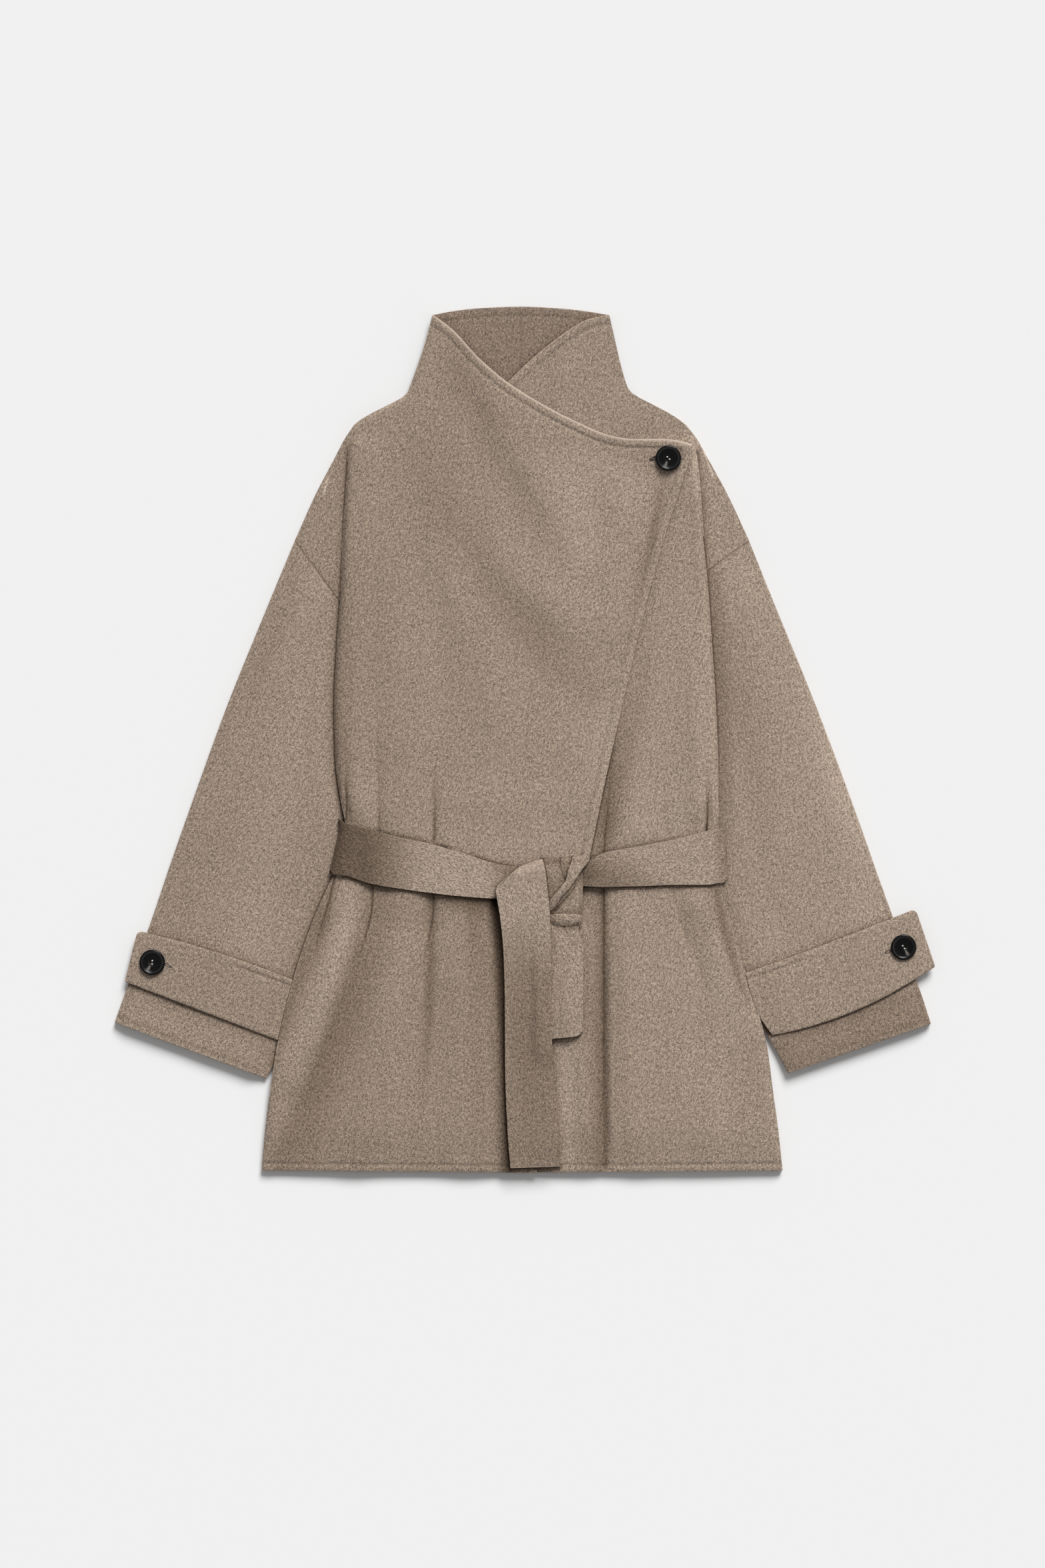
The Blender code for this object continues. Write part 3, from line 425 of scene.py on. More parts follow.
# Painted shade along folds closed to a line, painted highlight where the value is below 0: start, bend and
# end in plan, and how dark the line is there, or light below 0
PAINTED_CREASE_LINES = {
    "right": (
        # x0, y0, x1, y1, x2, y2, d0, d1, d2
        (-0.1490, -0.1390, -0.1500, -0.1720, -0.1660, -0.2200, 0.55, 0.60, 0.0),
        (-0.0890, -0.1480, -0.0905, -0.1800, -0.1010, -0.2200, 0.50, 0.45, 0.0),
        (-0.1845, -0.1290, -0.1915, -0.1600, -0.2040, -0.2000, 0.55, 0.50, 0.0),
        (-0.1750, -0.0350, -0.1728, -0.0560, -0.1738, -0.0780, 0.0, 0.50, 0.50),
        (-0.0872, -0.0400, -0.0872, -0.0680, -0.0880, -0.0990, 0.0, 0.25, 0.50),
        (-0.1420, -0.0300, -0.1412, -0.0600, -0.1412, -0.0900, 0.0, 0.12, 0.25),
        (-0.0760, -0.1046, -0.0450, -0.1140, -0.0140, -0.1218, 0.0, 0.30, 0.45),
        (-0.1842, 0.2756, -0.1930, 0.2500, -0.2000, 0.2217, -0.30, -0.85, 0.0),
        (-0.1864, 0.2756, -0.1952, 0.2500, -0.2022, 0.2217, 0.10, 0.40, 0.0),
    ),
    "left": (
        # x0, y0, x1, y1, x2, y2, d0, d1, d2
        (0.1785, -0.0480, 0.1780, -0.0680, 0.1773, -0.0880, 0.0, 0.55, 0.85),
        (0.0772, -0.1440, 0.0773, -0.2400, 0.0768, -0.3900, 0.50, 0.40, 0.0),
        (0.0850, -0.0200, 0.0815, -0.0600, 0.0770, -0.1120, 0.0, 0.35, 0.55),
        (0.1645, 0.2964, 0.1705, 0.2594, 0.1714, 0.2280, -0.15, -0.45, 0.0),
        (0.1690, 0.2910, 0.1808, 0.2665, 0.1878, 0.2363, -0.30, -0.85, 0.0),
        (0.1712, 0.2910, 0.1830, 0.2665, 0.1900, 0.2363, 0.10, 0.40, 0.0),
    ),
}

# Streaks of painted shade and painted light, darker or lighter, with the columns of the creases
PAINTED_SHADING_STREAKS = {
    "right": (
        # x0, y0, x1, y1, x2, y2, left width, right width, n0, n1, n2
        # Chest and collar
        (-0.063, 0.371, -0.024, 0.267, 0.041, 0.157, 0.014, 0.018, -0.09, -0.05, -0.03),
        (-0.045, 0.165, 0.010, 0.100, 0.058, 0.050, 0.028, 0.018, -0.07, -0.17, -0.12),
        (-0.109, 0.280, -0.072, 0.212, -0.050, 0.165, 0.020, 0.020, -0.07, -0.14, -0.02),
        (-0.020, 0.170, 0.010, 0.130, 0.060, 0.105, 0.010, 0.010, 0.04, 0.08, 0.06),
        (-0.096, 0.163, -0.088, 0.085, -0.081, 0.014, 0.016, 0.016, 0.03, 0.04, 0.05),
        (-0.063, 0.358, -0.024, 0.316, 0.028, 0.290, 0.014, 0.016, -0.08, -0.13, -0.08),
        (0.048, 0.296, 0.093, 0.285, 0.138, 0.274, 0.014, 0.014, -0.08, -0.12, -0.12),
        (0.030, 0.285, 0.045, 0.240, 0.056, 0.200, 0.022, 0.022, 0.05, 0.10, 0.05),
        (0.047, 0.202, 0.054, 0.173, 0.060, 0.150, 0.014, 0.014, 0.03, 0.09, 0.03),
        (0.098, 0.270, 0.106, 0.248, 0.112, 0.226, 0.014, 0.014, 0.03, 0.06, 0.03),
        (0.137, 0.262, 0.118, 0.165, 0.094, 0.045, 0.006, 0.012, -0.05, -0.08, -0.03),
        (-0.176, 0.150, -0.176, 0.033, -0.187, -0.116, 0.013, 0.013, -0.08, -0.15, -0.22),
        (0.093, 0.066, 0.085, 0.020, 0.077, -0.032, 0.012, 0.012, 0.05, 0.12, 0.06),
        (-0.148, -0.051, -0.150, -0.077, -0.151, -0.100, 0.012, 0.012, 0.02, 0.08, 0.10),
        (-0.122, -0.087, -0.102, -0.089, -0.079, -0.090, 0.012, 0.012, 0.06, 0.07, 0.08),
        # Skirt
        (-0.148, -0.150, -0.175, -0.257, -0.240, -0.408, 0.026, 0.008, -0.14, -0.30, -0.22),
        (-0.188, -0.140, -0.202, -0.188, -0.237, -0.285, 0.009, 0.010, -0.16, -0.28, -0.22),
        (-0.172, -0.165, -0.193, -0.233, -0.222, -0.311, 0.014, 0.013, 0.12, 0.22, 0.12),
        (-0.151, -0.152, -0.122, -0.168, -0.089, -0.172, 0.018, 0.018, -0.08, -0.10, -0.08),
        (-0.089, -0.152, -0.070, -0.155, -0.050, -0.162, 0.010, 0.010, -0.10, -0.28, -0.16),
        (-0.183, -0.292, -0.196, -0.350, -0.206, -0.406, 0.016, 0.016, -0.03, -0.07, -0.05),
        (-0.135, -0.188, -0.140, -0.246, -0.141, -0.292, 0.020, 0.020, 0.04, 0.07, 0.02),
        (-0.070, -0.311, -0.068, -0.360, -0.064, -0.406, 0.011, 0.011, 0.05, 0.08, 0.16),
        (-0.161, -0.387, -0.109, -0.388, -0.057, -0.393, 0.014, 0.012, 0.05, 0.06, 0.06),
        (-0.046, -0.152, -0.049, -0.188, -0.042, -0.240, 0.012, 0.012, -0.10, -0.28, -0.10),
        (-0.047, -0.246, -0.045, -0.305, -0.042, -0.370, 0.010, 0.010, -0.06, -0.10, -0.08),
        (-0.0275, -0.152, -0.0195, -0.262, -0.0150, -0.416, 0.008, 0.0090, -0.48, -0.46, -0.36),
        (-0.0305, -0.152, -0.0226, -0.262, -0.0180, -0.416, 0.006, 0.0050, -0.24, -0.34, -0.30),
        (-0.090, -0.1490, -0.060, -0.1530, -0.030, -0.1560, 0.010, 0.010, -0.02, -0.22, -0.34),
    ),
    "left": (
        # x0, y0, x1, y1, x2, y2, left width, right width, n0, n1, n2
        (0.0870, 0.0150, 0.0825, -0.0500, 0.0770, -0.1120, 0.008, 0.009, -0.04, -0.22, -0.36),
        (0.118, 0.079, 0.106, 0.017, 0.084, -0.087, 0.009, 0.011, -0.06, -0.17, -0.22),
        (0.140, -0.006, 0.145, -0.055, 0.153, -0.090, 0.014, 0.014, 0.03, 0.05, 0.06),
        (0.093, -0.084, 0.129, -0.081, 0.161, -0.084, 0.014, 0.014, 0.08, 0.09, 0.10),
        (0.166, 0.230, 0.1705, 0.100, 0.176, -0.060, 0.010, 0.010, -0.16, 0.02, 0.08),
        (0.164, 0.285, 0.169, 0.240, 0.1722, 0.180, 0.002, 0.002, 0.08, 0.16, 0.04),
        (0.060, 0.332, 0.100, 0.306, 0.145, 0.300, 0.014, 0.014, -0.05, -0.10, -0.10),
        # Skirt
        (0.0770, -0.1440, 0.0765, -0.2700, 0.0780, -0.4140, 0.005, 0.014, -0.26, -0.28, -0.22),
        (0.0755, -0.214, 0.0745, -0.318, 0.0735, -0.409, 0.010, 0.010, -0.05, -0.10, -0.10),
        (0.041, -0.292, 0.042, -0.350, 0.038, -0.406, 0.014, 0.014, 0.16, 0.17, 0.28),
        (0.067, -0.168, 0.106, -0.188, 0.158, -0.181, 0.022, 0.022, -0.05, -0.08, -0.06),
        (0.176, -0.201, 0.190, -0.240, 0.204, -0.292, 0.010, 0.010, 0.08, 0.15, 0.08),
        (0.093, -0.384, 0.158, -0.386, 0.230, -0.383, 0.014, 0.012, 0.06, 0.06, 0.05),
        (0.185, -0.152, 0.197, -0.188, 0.215, -0.253, 0.010, 0.010, -0.18, -0.26, -0.12),
    ),
    "sleeve_right": (
        # x0, y0, x1, y1, x2, y2, left width, right width, n0, n1, n2
        (-0.206, 0.118, -0.232, 0.000, -0.271, -0.214, 0.030, 0.030, 0.06, 0.07, 0.13),
        (-0.226, 0.157, -0.242, 0.098, -0.271, 0.020, 0.010, 0.010, -0.06, -0.08, -0.04),
    ),
    "sleeve_left": (
        # x0, y0, x1, y1, x2, y2, left width, right width, n0, n1, n2
        (0.198, 0.098, 0.215, 0.020, 0.242, -0.058, 0.012, 0.014, -0.08, -0.16, -0.08),
        (0.278, 0.046, 0.307, -0.064, 0.333, -0.168, 0.022, 0.022, 0.06, 0.13, 0.10),
        (0.194, -0.152, 0.2035, -0.188, 0.222, -0.253, 0.008, 0.008, -0.15, -0.18, -0.05),
        (0.186, -0.084, 0.186, -0.103, 0.185, -0.123, 0.006, 0.006, -0.12, -0.25, -0.25),
    ),
    "belt_right": (
        # x0, y0, x1, y1, x2, y2, left width, right width, n0, n1, n2
        (-0.0306, -0.116, -0.0208, -0.123, -0.0078, -0.126, 0.007, 0.007, -0.20, -0.32, -0.30),
    ),
    "belt_left": (
        # x0, y0, x1, y1, x2, y2, left width, right width, n0, n1, n2
        (0.0585, -0.129, 0.067, -0.131, 0.077, -0.133, 0.007, 0.007, -0.25, -0.20, -0.05),
    ),
}
CREASES_BACK = (
    # x0, y0, x1, y1, x2, y2, left width, right width, h0, h1, h2
    (-0.090, 0.270, -0.075, 0.150, -0.070, 0.020, 0.022, 0.018, 0.0002, 0.0010, 0.0004),
    (0.020, 0.255, 0.028, 0.160, 0.022, 0.060, 0.016, 0.022, 0.0001, 0.0012, 0.0003),
    (0.110, 0.240, 0.098, 0.120, 0.092, -0.010, 0.020, 0.018, 0.0003, 0.0009, 0.0004),
    (-0.030, 0.110, -0.022, 0.020, -0.026, -0.050, 0.014, 0.014, 0.0001, 0.0010, 0.0006),
    (-0.125, -0.170, -0.140, -0.260, -0.165, -0.400, 0.018, 0.022, 0.0003, 0.0014, 0.0012),
    (-0.040, -0.175, -0.046, -0.280, -0.052, -0.410, 0.016, 0.016, 0.0003, 0.0011, 0.0013),
    (0.050, -0.165, 0.058, -0.250, 0.070, -0.360, 0.018, 0.015, 0.0004, 0.0013, 0.0005),
    (0.128, -0.180, 0.142, -0.290, 0.160, -0.410, 0.020, 0.022, 0.0003, 0.0012, 0.0012),
)
CREASES_SLEEVE = {
    "right": (
        # x0, y0, x1, y1, x2, y2, left width, right width, h0, h1, h2
        (-0.215, 0.150, -0.245, 0.050, -0.285, -0.070, 0.014, 0.020, 0.0002, 0.0012, 0.0004),
        (-0.222, 0.060, -0.240, -0.030, -0.262, -0.130, 0.012, 0.012, 0.0001, 0.0010, 0.0003),
        (-0.270, 0.030, -0.300, -0.060, -0.325, -0.140, 0.016, 0.012, 0.0002, 0.0008, 0.0002),
        (-0.240, -0.120, -0.262, -0.165, -0.290, -0.205, 0.010, 0.014, 0.0001, 0.0007, 0.0002),
    ),
    "left": (
        # x0, y0, x1, y1, x2, y2, left width, right width, h0, h1, h2
        (0.212, 0.150, 0.238, 0.060, 0.262, -0.040, 0.020, 0.014, 0.0002, 0.0011, 0.0003),
        (0.220, 0.020, 0.240, -0.070, 0.268, -0.150, 0.012, 0.014, 0.0001, 0.0010, 0.0003),
        (0.262, 0.040, 0.296, -0.050, 0.330, -0.130, 0.014, 0.016, 0.0002, 0.0010, 0.0003),
        (0.236, -0.130, 0.262, -0.165, 0.300, -0.185, 0.012, 0.010, 0.0001, 0.0006, 0.0002),
    ),
}

# Outer edge of each sleeve against the height of its inner edge
SLEEVES = {
    "right": (
        # outer across, outer height, inner height
        (-0.2236, 0.1950, 0.1286),
        (-0.2477, 0.1372, 0.0980),
        (-0.2899, 0.0332, 0.0050),
        (-0.3276, -0.0709, -0.0950),
        (-0.3458, -0.1229, -0.1500),
        (-0.3634, -0.1749, -0.2100),
        (-0.3820, -0.2260, -0.2680),
        (-0.3960, -0.2655, -0.3155),
    ),
    "left": (
        # outer across, outer height, inner height
        (0.2186, 0.1950, 0.1613),
        (0.2418, 0.1372, 0.0980),
        (0.2841, 0.0332, 0.0050),
        (0.3230, -0.0709, -0.0950),
        (0.3413, -0.1229, -0.1500),
        (0.3588, -0.1716, -0.2000),
        (0.3760, -0.2180, -0.2420),
        (0.3870, -0.2480, -0.2760),
    ),
}
CUFFS = {
    # outer corner x and y, inner corner x and y
    "right": (-0.3991, -0.2743, -0.2516, -0.3289),
    "left": (0.3959, -0.2756, 0.2568, -0.3237),
}

# Cuff tabs: corners in plan and how far the long edges bow out
CUFF_TABS = {
    # outer top x, y, outer bottom x, y, inner bottom x, y, inner top x, y, top bow, bottom bow
    "right": (-0.3770, -0.1859, -0.3894, -0.2360, -0.2418, -0.2915, -0.2275, -0.2325, 0.004, 0.001),
    "left": (0.3812, -0.1651, 0.4003, -0.2217, 0.2425, -0.2866, 0.2175, -0.2262, 0.000, -0.009),
}
BUTTONS = {
    # across, height, turn of the holes, tilt, direction of the glint
    "shoulder": (0.1398, 0.2743, -0.8, 0.00, -1.95),
    "cuff_right": (-0.3621, -0.2158, 1.5, 0.05, -2.10),
    "cuff_left": (0.3686, -0.2009, -0.95, 0.05, -1.03),
}
BUTTON_PROFILE = (
    # radius, height, from the middle of the underside up the rim to the dish
    (0.0080, 0.0000),
    (0.0106, 0.0003),
    (0.0119, 0.0012),
    (0.0125, 0.0022),
    (0.0123, 0.0030),
    (0.0118, 0.0035),
    (0.0110, 0.0037),
    (0.0104, 0.0036),
    (0.0098, 0.0031),
    (0.0092, 0.0028),
    (0.0070, 0.0024),
    (0.0040, 0.0022),
)
BUTTON_SEAT = 0.009
HOLE_OFF = 0.0016
HOLE_RADIUS = 0.0011
THREAD_RADIUS = 0.00085
THREAD_LEVEL = 0.0022

# Painted glint of a button: its spread, where it starts and ends, and the painted highlight ring where the
# dish meets the rim
GLINT_SPREAD = 0.16
GLINT_START = (0.0020, 0.0045)
GLINT_END = (0.0088, 0.0094)
RING_RADIUS = 0.0100
RING_WIDTH = 0.0004
RING_SHARE = 0.30
DISH_LEVEL = 0.0018

BUTTONHOLE_RADIUS = 0.0011
BUTTONHOLE_THREAD = 0.00055
BUTTONHOLES = {
    # across, height, turn, length
    "shoulder": (0.1270, 0.2752, 0.35, 0.012),
    "cuff_right": (-0.3475, -0.2186, -0.42, 0.011),
    "cuff_left": (0.3542, -0.2052, 0.42, 0.010),
}

# Front runs of the belt, from the side of the coat to the knot
BELT_RUNS = {
    "right": (
        # across, upper edge, lower edge
        (-0.1765, -0.0800, -0.1302),
        (-0.1476, -0.0872, -0.1396),
        (-0.1216, -0.0940, -0.1440),
        (-0.0956, -0.0995, -0.1476),
        (-0.0566, -0.1105, -0.1518),
        (-0.0306, -0.1190, -0.1534),
        (0.0020, -0.1240, -0.1520),
    ),
    "left": (
        # across, upper edge, lower edge
        (0.1880, -0.0852, -0.1385),
        (0.1775, -0.0878, -0.1404),
        (0.1450, -0.0962, -0.1404),
        (0.1125, -0.1027, -0.1417),
        (0.0767, -0.1092, -0.1424),
        (0.0560, -0.1200, -0.1415),
        (0.0360, -0.1230, -0.1410),
    ),
}
BELT_PAINTED_SHADE = {
    # painted shade, darkest and lightest, from, to, lean from edge to edge
    "right": (0.42, 1.12, -0.160, -0.088, 0.0),
    "left": (0.62, 1.09, 0.060, 0.135, 0.050),
}
LONG_TAIL = (
    # left x, left y, right x, right y, share of knot lift
    (-0.0050, -0.1225, 0.0172, -0.1142, 0.20),
    (-0.0150, -0.1310, 0.0196, -0.1235, 0.95),
    (-0.0277, -0.1452, 0.0218, -0.1400, 1.00),
    (-0.0236, -0.1720, 0.0246, -0.1690, 0.90),
    (-0.0204, -0.2074, 0.0258, -0.2074, 0.25),
    (-0.0192, -0.2529, 0.0256, -0.2529, 0.00),
    (-0.0189, -0.3179, 0.0280, -0.3179, 0.00),
    (-0.0163, -0.3829, 0.0338, -0.3829, 0.00),
    (-0.0137, -0.4155, 0.0358, -0.4140, 0.00),
)
SHORT_TAIL = (
    # left x, left y, right x, right y, share of knot lift
    (0.0220, -0.1720, 0.0535, -0.1720, 0.00),
    (0.0200, -0.1860, 0.0525, -0.1850, 0.00),
    (0.0180, -0.1930, 0.0557, -0.1930, 0.00),
    (0.0165, -0.2030, 0.0573, -0.2030, 0.00),
    (0.0160, -0.2400, 0.0570, -0.2400, 0.00),
    (0.0160, -0.2720, 0.0570, -0.2680, 0.00),
    (0.0160, -0.2830, 0.0567, -0.2785, 0.00),
    (0.0160, -0.2885, 0.0551, -0.2842, 0.00),
    (0.0160, -0.2912, 0.0508, -0.2872, 0.00),
)
# The knot as bands of cloth over one another, from the lowest up
KNOT_BANDS = {
    # left x, left y, left lift, right x, right y, right lift, crown
    "loop": (
        (0.0150, -0.1145, -0.0045, 0.0440, -0.1140, -0.0045, 0.0000),
        (0.0150, -0.1190, -0.0012, 0.0440, -0.1190, -0.0016, 0.0000),
        (0.0150, -0.1290, 0.0002, 0.0440, -0.1290, -0.0006, 0.0004),
        (0.0150, -0.1420, -0.0006, 0.0420, -0.1400, -0.0012, 0.0004),
        (0.0150, -0.1560, -0.0020, 0.0330, -0.1560, -0.0020, 0.0000),
    ),
    "wrap": (
        (0.0470, -0.1260, -0.0004, 0.0555, -0.1250, -0.0012, 0.0002),
        (0.0419, -0.1380, 0.0006, 0.0564, -0.1370, -0.0008, 0.0008),
        (0.0349, -0.1504, 0.0004, 0.0564, -0.1500, -0.0010, 0.0014),
        (0.0284, -0.1600, -0.0002, 0.0560, -0.1600, -0.0014, 0.0014),
        (0.0240, -0.1685, -0.0014, 0.0553, -0.1692, -0.0028, 0.0010),
    ),
    "lip": (
        (0.0480, -0.1240, 0.0016, 0.0560, -0.1245, -0.0004, 0.0004),
        (0.0440, -0.1350, 0.0020, 0.0508, -0.1365, 0.0006, 0.0006),
        (0.0390, -0.1445, 0.0020, 0.0446, -0.1466, 0.0010, 0.0006),
        (0.0320, -0.1524, 0.0012, 0.0376, -0.1546, 0.0006, 0.0006),
        (0.0265, -0.1590, 0.0000, 0.0318, -0.1626, -0.0004, 0.0004),
        (0.0210, -0.1650, -0.0014, 0.0246, -0.1690, -0.0018, 0.0002),
    ),
    "roll": (
        (0.0360, -0.1150, -0.0026, 0.0480, -0.1120, -0.0014, 0.0006),
        (0.0362, -0.1190, -0.0006, 0.0478, -0.1180, 0.0006, 0.0012),
        (0.0366, -0.1230, 0.0000, 0.0470, -0.1230, 0.0010, 0.0012),
        (0.0385, -0.1305, 0.0002, 0.0450, -0.1310, 0.0006, 0.0008),
        (0.0408, -0.1370, 0.0000, 0.0425, -0.1385, 0.0000, 0.0002),
    ),
    "twist": (
        (0.0464, -0.1128, -0.0016, 0.0600, -0.1120, -0.0040, 0.0010),
        (0.0460, -0.1168, 0.0020, 0.0628, -0.1158, -0.0016, 0.0012),
        (0.0424, -0.1266, 0.0040, 0.0548, -0.1256, 0.0024, 0.0012),
        (0.0409, -0.1350, 0.0040, 0.0489, -0.1350, 0.0034, 0.0012),
        (0.0349, -0.1435, 0.0036, 0.0419, -0.1445, 0.0034, 0.0012),
        (0.0280, -0.1514, 0.0024, 0.0349, -0.1524, 0.0024, 0.0010),
        (0.0240, -0.1564, 0.0010, 0.0300, -0.1604, 0.0010, 0.0006),
        (0.0200, -0.1600, -0.0004, 0.0240, -0.1664, -0.0004, 0.0002),
    ),
    "keeper": (
        (0.0230, -0.1676, -0.0020, 0.0230, -0.1762, -0.0030, 0.0008),
        (0.0330, -0.1682, -0.0010, 0.0330, -0.1792, -0.0022, 0.0016),
        (0.0420, -0.1686, -0.0008, 0.0420, -0.1798, -0.0020, 0.0018),
        (0.0500, -0.1690, -0.0012, 0.0500, -0.1794, -0.0024, 0.0016),
        (0.0553, -0.1694, -0.0032, 0.0553, -0.1781, -0.0044, 0.0004),
    ),
}
# Painted shade of each band of the knot, and painted shade at the tops of the bands
KNOT_PAINTED_SHADE = {"loop": 0.90, "wrap": 1.04, "lip": 0.98, "roll": 1.00, "twist": 1.02, "keeper": 0.96}
KNOT_TOP_SHADE = {"loop": 0.34, "wrap": 0.0, "lip": 0.0, "roll": 0.20, "twist": 0.22, "keeper": 0.0}


def smooth_through(knots, values, at):
    """Smooth curve through a table that never overshoots it."""
    knots = np.asarray(knots, float)
    values = np.asarray(values, float)
    if knots[0] > knots[-1]:
        knots = knots[::-1]
        values = values[::-1]
    steps = np.diff(knots)
    slopes = np.diff(values) / steps
    tangents = np.empty_like(values)
    tangents[0] = slopes[0]
    tangents[-1] = slopes[-1]
    product = slopes[:-1] * slopes[1:]
    total = slopes[:-1] + slopes[1:]
    tangents[1:-1] = np.where(product > 0, 2 * product / np.where(total == 0, 1, total), 0)
    at = np.clip(np.asarray(at, float), knots[0], knots[-1])
    place = np.clip(np.searchsorted(knots, at) - 1, 0, len(steps) - 1)
    step = steps[place]
    t = (at - knots[place]) / step
    start = (1 + 2 * t) * (1 - t) ** 2 * values[place] + t * (1 - t) ** 2 * step * tangents[place]
    end = t * t * (3 - 2 * t) * values[place + 1] + t * t * (t - 1) * step * tangents[place + 1]
    return start + end


def from_table(table, column, at, key=0):
    """One column of a table, read smoothly at any value of its key column."""
    rows = np.array(table)
    return smooth_through(rows[:, key], rows[:, column], at)


def columns_of(table, count):
    """Every column of a table, read smoothly at an even count of places along its rows."""
    rows = np.array(table)
    knots = np.linspace(0, 1, len(rows))
    at = np.linspace(0, 1, count)
    return [smooth_through(knots, column, at) for column in rows.T]


def side_x(side, y):
    """Where the body's side line lies at a height."""
    return from_table(SIDE_LINE, 1 if side == "right" else 2, y)


def inside_of(side, x, y):
    """How far points lie inside the body's side line, negative outside it."""
    return (x - side_x(side, y)) * SIGN[side]


def between(first, second, share):
    """Straight from a first place to a second, by a share of the way."""
    return first + share * (second - first)


def ease(value, low, high):
    """0 below low, 1 above high, smooth between."""
    t = np.clip((np.asarray(value, float) - low) / (high - low), 0, 1)
    return t * t * (3 - 2 * t)


def rounded(value, radius):
    """Quarter-round rise from 0 at an edge to 1 a radius inside it."""
    t = np.clip(np.asarray(value, float) / radius, 0, 1)
    return np.sqrt(1 - (1 - t) ** 2)


def bell(value, width):
    """1 at zero, falling smoothly to nothing a few widths away."""
    return np.exp(-(value / width) ** 2)


def higher(a, b, blend):
    """Larger of two heights, rounded where they cross."""
    return 0.5 * (a + b + np.sqrt((a - b) ** 2 + blend ** 2))


def nearest_on(path, x, y):
    """Signed distance of points from a path, positive to its left, and the share of its length there."""
    best = np.full(x.shape, np.inf)
    signed = np.zeros(x.shape)
    share = np.zeros(x.shape)
    steps = len(path) - 1
    for k in range(steps):
        ax, ay = path[k]
        dx, dy = path[k + 1] - path[k]
        t = np.clip(((x - ax) * dx + (y - ay) * dy) / (dx * dx + dy * dy), 0, 1)
        ox = x - ax - t * dx
        oy = y - ay - t * dy
        far = np.hypot(ox, oy)
        closer = far < best
        best = np.where(closer, far, best)
        signed = np.where(closer, np.where(dx * oy - dy * ox >= 0, far, -far), signed)
        share = np.where(closer, (k + t) / steps, share)
    return signed, share


def bent_path(x0, y0, x1, y1, x2, y2):
    """Points along a smooth curve through three places."""
    t = np.linspace(0, 1, 15)[:, None]
    start, middle, end = np.array(((x0, y0), (x1, y1), (x2, y2)))
    bend = 2 * middle - 0.5 * (start + end)
    return (1 - t) ** 2 * start + 2 * t * (1 - t) * bend + t * t * end


def crease_line_shade(table, x, y):
    """Signed distance from the nearest painted crease line of a table, and how dark its painted shade is
    there, or how light below 0.
    """
    best = np.full(x.shape, 1.0)
    depth = np.zeros(x.shape)
    for row in table:
        signed, share = nearest_on(bent_path(*row[:6]), x, y)
        closer = np.abs(signed) < np.abs(best)
        best = np.where(closer, signed, best)
        depth = np.where(closer, smooth_through((0, 0.5, 1), row[6:], share), depth)
    return best, depth * (1 - ease(np.abs(best), *FOLD_REACH))


def creases(table, x, y):
    """Sum of the soft ridges and troughs in a table, each along its own curve."""
    x, y = np.broadcast_arrays(np.asarray(x, float), np.asarray(y, float))
    total = np.zeros(x.shape)
    for x0, y0, x1, y1, x2, y2, left, right, h0, h1, h2 in table:
        path = bent_path(x0, y0, x1, y1, x2, y2)
        reach = 3 * max(left, right)
        low = path.min(0) - reach
        high = path.max(0) + reach
        near = (x > low[0]) & (x < high[0]) & (y > low[1]) & (y < high[1])
        if near.any():
            signed, share = nearest_on(path, x[near], y[near])
            height = smooth_through((0, 0.5, 1), (h0, h1, h2), share)
            total[near] += height * bell(signed, np.where(signed > 0, left, right))
    return total


def unevenness(x, y):
    """Small hand of the cloth, so that no stretch of it is quite flat."""
    waves = np.sin(61 * x + 23 * y + 0.4) * np.sin(19 * x - 47 * y + 1.1)
    waves = waves + 0.6 * np.sin(113 * x - 71 * y + 2.0) * np.sin(83 * y + 37 * x)
    return UNEVEN * waves


def waist_rise(y, layer):
    """Rise of a layer over the back run of the belt, a little wider for each layer up."""
    off = np.abs(np.asarray(y, float) - BELT_MIDDLE)
    flat = BELT_WIDTH / 2 + WAIST_EASE + WAIST_SPREAD * layer
    return (BELT_CLOTH + SEAM) * (1 - ease(off, flat, flat + WAIST_RAMP))


def ground(x, y, layer):
    """Height of the back's underside, which every layer above it follows."""
    return waist_rise(y, layer) + creases(CREASES_BACK, x, y)


def underlap_edge(y):
    """Hidden front edge of the left front, the mirror of the right front's."""
    return UNDERLAP_MIRROR - from_table(FRONT_EDGE, 1, y)


def beside_belt(side, y):
    """1 beside the belt, where it turns round the body, and 0 away from it."""
    return ease(y, *BESIDE_BELT[side][:2]) * (1 - ease(y, *BESIDE_BELT[side][2:]))


def beside_waist(y):
    """1 at the belt, where it holds the coat down, and 0 well away from it."""
    return bell(np.asarray(y, float) - BELT_MIDDLE, BELT_PRESS_REACH)


def stand_off(y):
    """How far the fronts stand off the back: less where the belt presses them, more on the chest."""
    return RIDGE * (1 - BELT_PRESS * beside_waist(y)) + CHEST_AIR * ease(y, *CHEST_FROM)


def on_sleeve(side, y):
    """Share of the body's side edge that lies on the sleeve at a height."""
    below = ease(y - SLEEVE_EXIT[side], *SLEEVE_LEAVES)
    above = 1 - ease(y - ARMPIT[side], *SLEEVE_STARTS)
    return below * above


